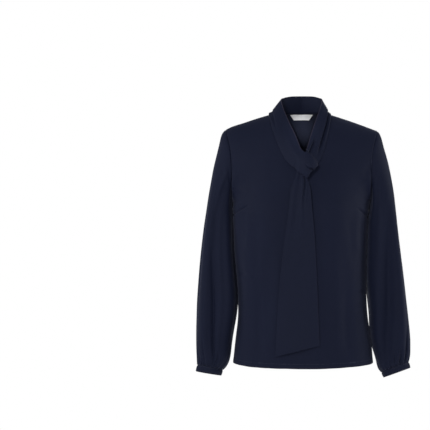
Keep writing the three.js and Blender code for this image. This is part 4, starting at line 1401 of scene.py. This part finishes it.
def surface_of(cloth):
    """Finds the nearest point of a sheet and the way out there, in metres."""
    return BVHTree.FromPolygons([vert.co for vert in cloth.data.vertices],
                                [face.vertices for face in cloth.data.polygons])


def add_stitch(mesh, middle, along, out, length):
    """One stitch: a thin bead of thread with rounded ends, half sunk in the cloth."""
    bead = bmesh.ops.create_uvsphere(mesh, u_segments=6, v_segments=4, radius=0.5)["verts"]
    turn = Matrix((out.cross(along), out, along)).transposed()
    size = Matrix.Diagonal((THREAD_THICK * MM, THREAD_THICK * MM, length))
    for vert in bead:
        vert.co = turn @ (size @ vert.co) + middle


def stitch_run(name, cloth, path, pitch, material):
    """Stitches along a path of points in millimetres, laid on a sheet's outer face."""
    surface = surface_of(cloth)
    mesh = bmesh.new()
    spent, due = 0.0, pitch / 2
    for a, b in zip(path, path[1:]):
        step = (b - a).length
        while step and spent + step >= due:
            point, out, _, _ = surface.find_nearest(a.lerp(b, (due - spent) / step) * MM)
            along = (b - a).normalized()
            along = (along - out * along.dot(out)).normalized()
            add_stitch(mesh, point - out * STITCH_SUNK * MM, along, out, pitch * (1 - STITCH_GAP) * MM)
            due += pitch
        spent += step
    for face in mesh.faces:
        face.smooth = True
    stitches = mesh_object(name, mesh)
    stitches.data.materials.append(material)
    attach(stitches, "root")
    return stitches


navy_thread = build_thread("navy_thread", THREAD_NAVY, THREAD_LIGHT)
for face, cloth in (("front", front), ("back", back)):
    hem_line = []
    for i in range(401):
        u, _, _ = panel_column(face, 2 * i / 400 - 1)
        z = HEM_SIDE_Z - HEM_DIP * (1 - u * u) + HEM_STITCHED
        hem_line.append(body_point(face, u, z))
    stitch_run(f"hem_stitches_{face}", cloth, hem_line, STITCH["hem"], navy_thread)
for name, cuff in cuffs.items():
    place = cuff_place(name)
    seam_line = [place(i / 200, CUFF_STITCHED)[0] for i in range(201)]
    stitch_run(f"cuff_stitches_{name}", cuff, seam_line, STITCH["cuff"], navy_thread)

# The label: a bare strip of white woven satin, wider along its top edge. It is turned under at its
# ends and caught inside the back of the neck.
LABEL = {"top": 30, "bottom": 20.5, "high": 12.5, "z": 11}
LABEL_CLOTH = 0.6
LABEL_IN = 3.3  # mm inside the back's outer face
SATIN_DARK = (0.86, 0.86, 0.88, 1)
SATIN_LIGHT = (0.95, 0.95, 0.96, 1)


def build_satin():
    """Woven satin, whose threads show much finer than the crepe's."""
    material, tree, shader = new_material("label_satin")
    grain = add_grain(tree, 2400)
    feed(tree, shader.inputs["Base Color"], add_mix(tree, grain["Tone"], SATIN_DARK, SATIN_LIGHT))
    add_relief(tree, shader, grain["Height"], 0.4, 0.08)
    shader.inputs["Roughness"].default_value = 0.38
    shader.inputs["Sheen Weight"].default_value = 0.2
    return material


def body_normal(face, u, z):
    along = body_point(face, u + 0.01, z) - body_point(face, u - 0.01, z)
    up = body_point(face, u, z + 1) - body_point(face, u, z - 1)
    return (along.cross(up) * -FACING[face]).normalized()


def label_place(s, t):
    down = 1 - t
    half = mix(LABEL["top"], LABEL["bottom"], down)
    x = mix(half, -half, s)
    z = neckline_z("back", x) - BACK_NECK_RISE + LABEL["z"] - LABEL["high"] * down
    u = (x - swing_at(z)) / side_at(z)
    point = body_point("back", u, z) - body_normal("back", u, z) * LABEL_IN
    out = -0.25 * hump(s / 0.03) - 0.25 * hump((1 - s) / 0.03)
    return point, out, 0.0


label = cloth_sheet("neck_label_satin", 60, 16, label_place, flat=(0.06, 0.0125))
thicken(label, LABEL_CLOTH, build_satin(), rounded=0.2)
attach(label, "root")
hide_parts("neck_label")
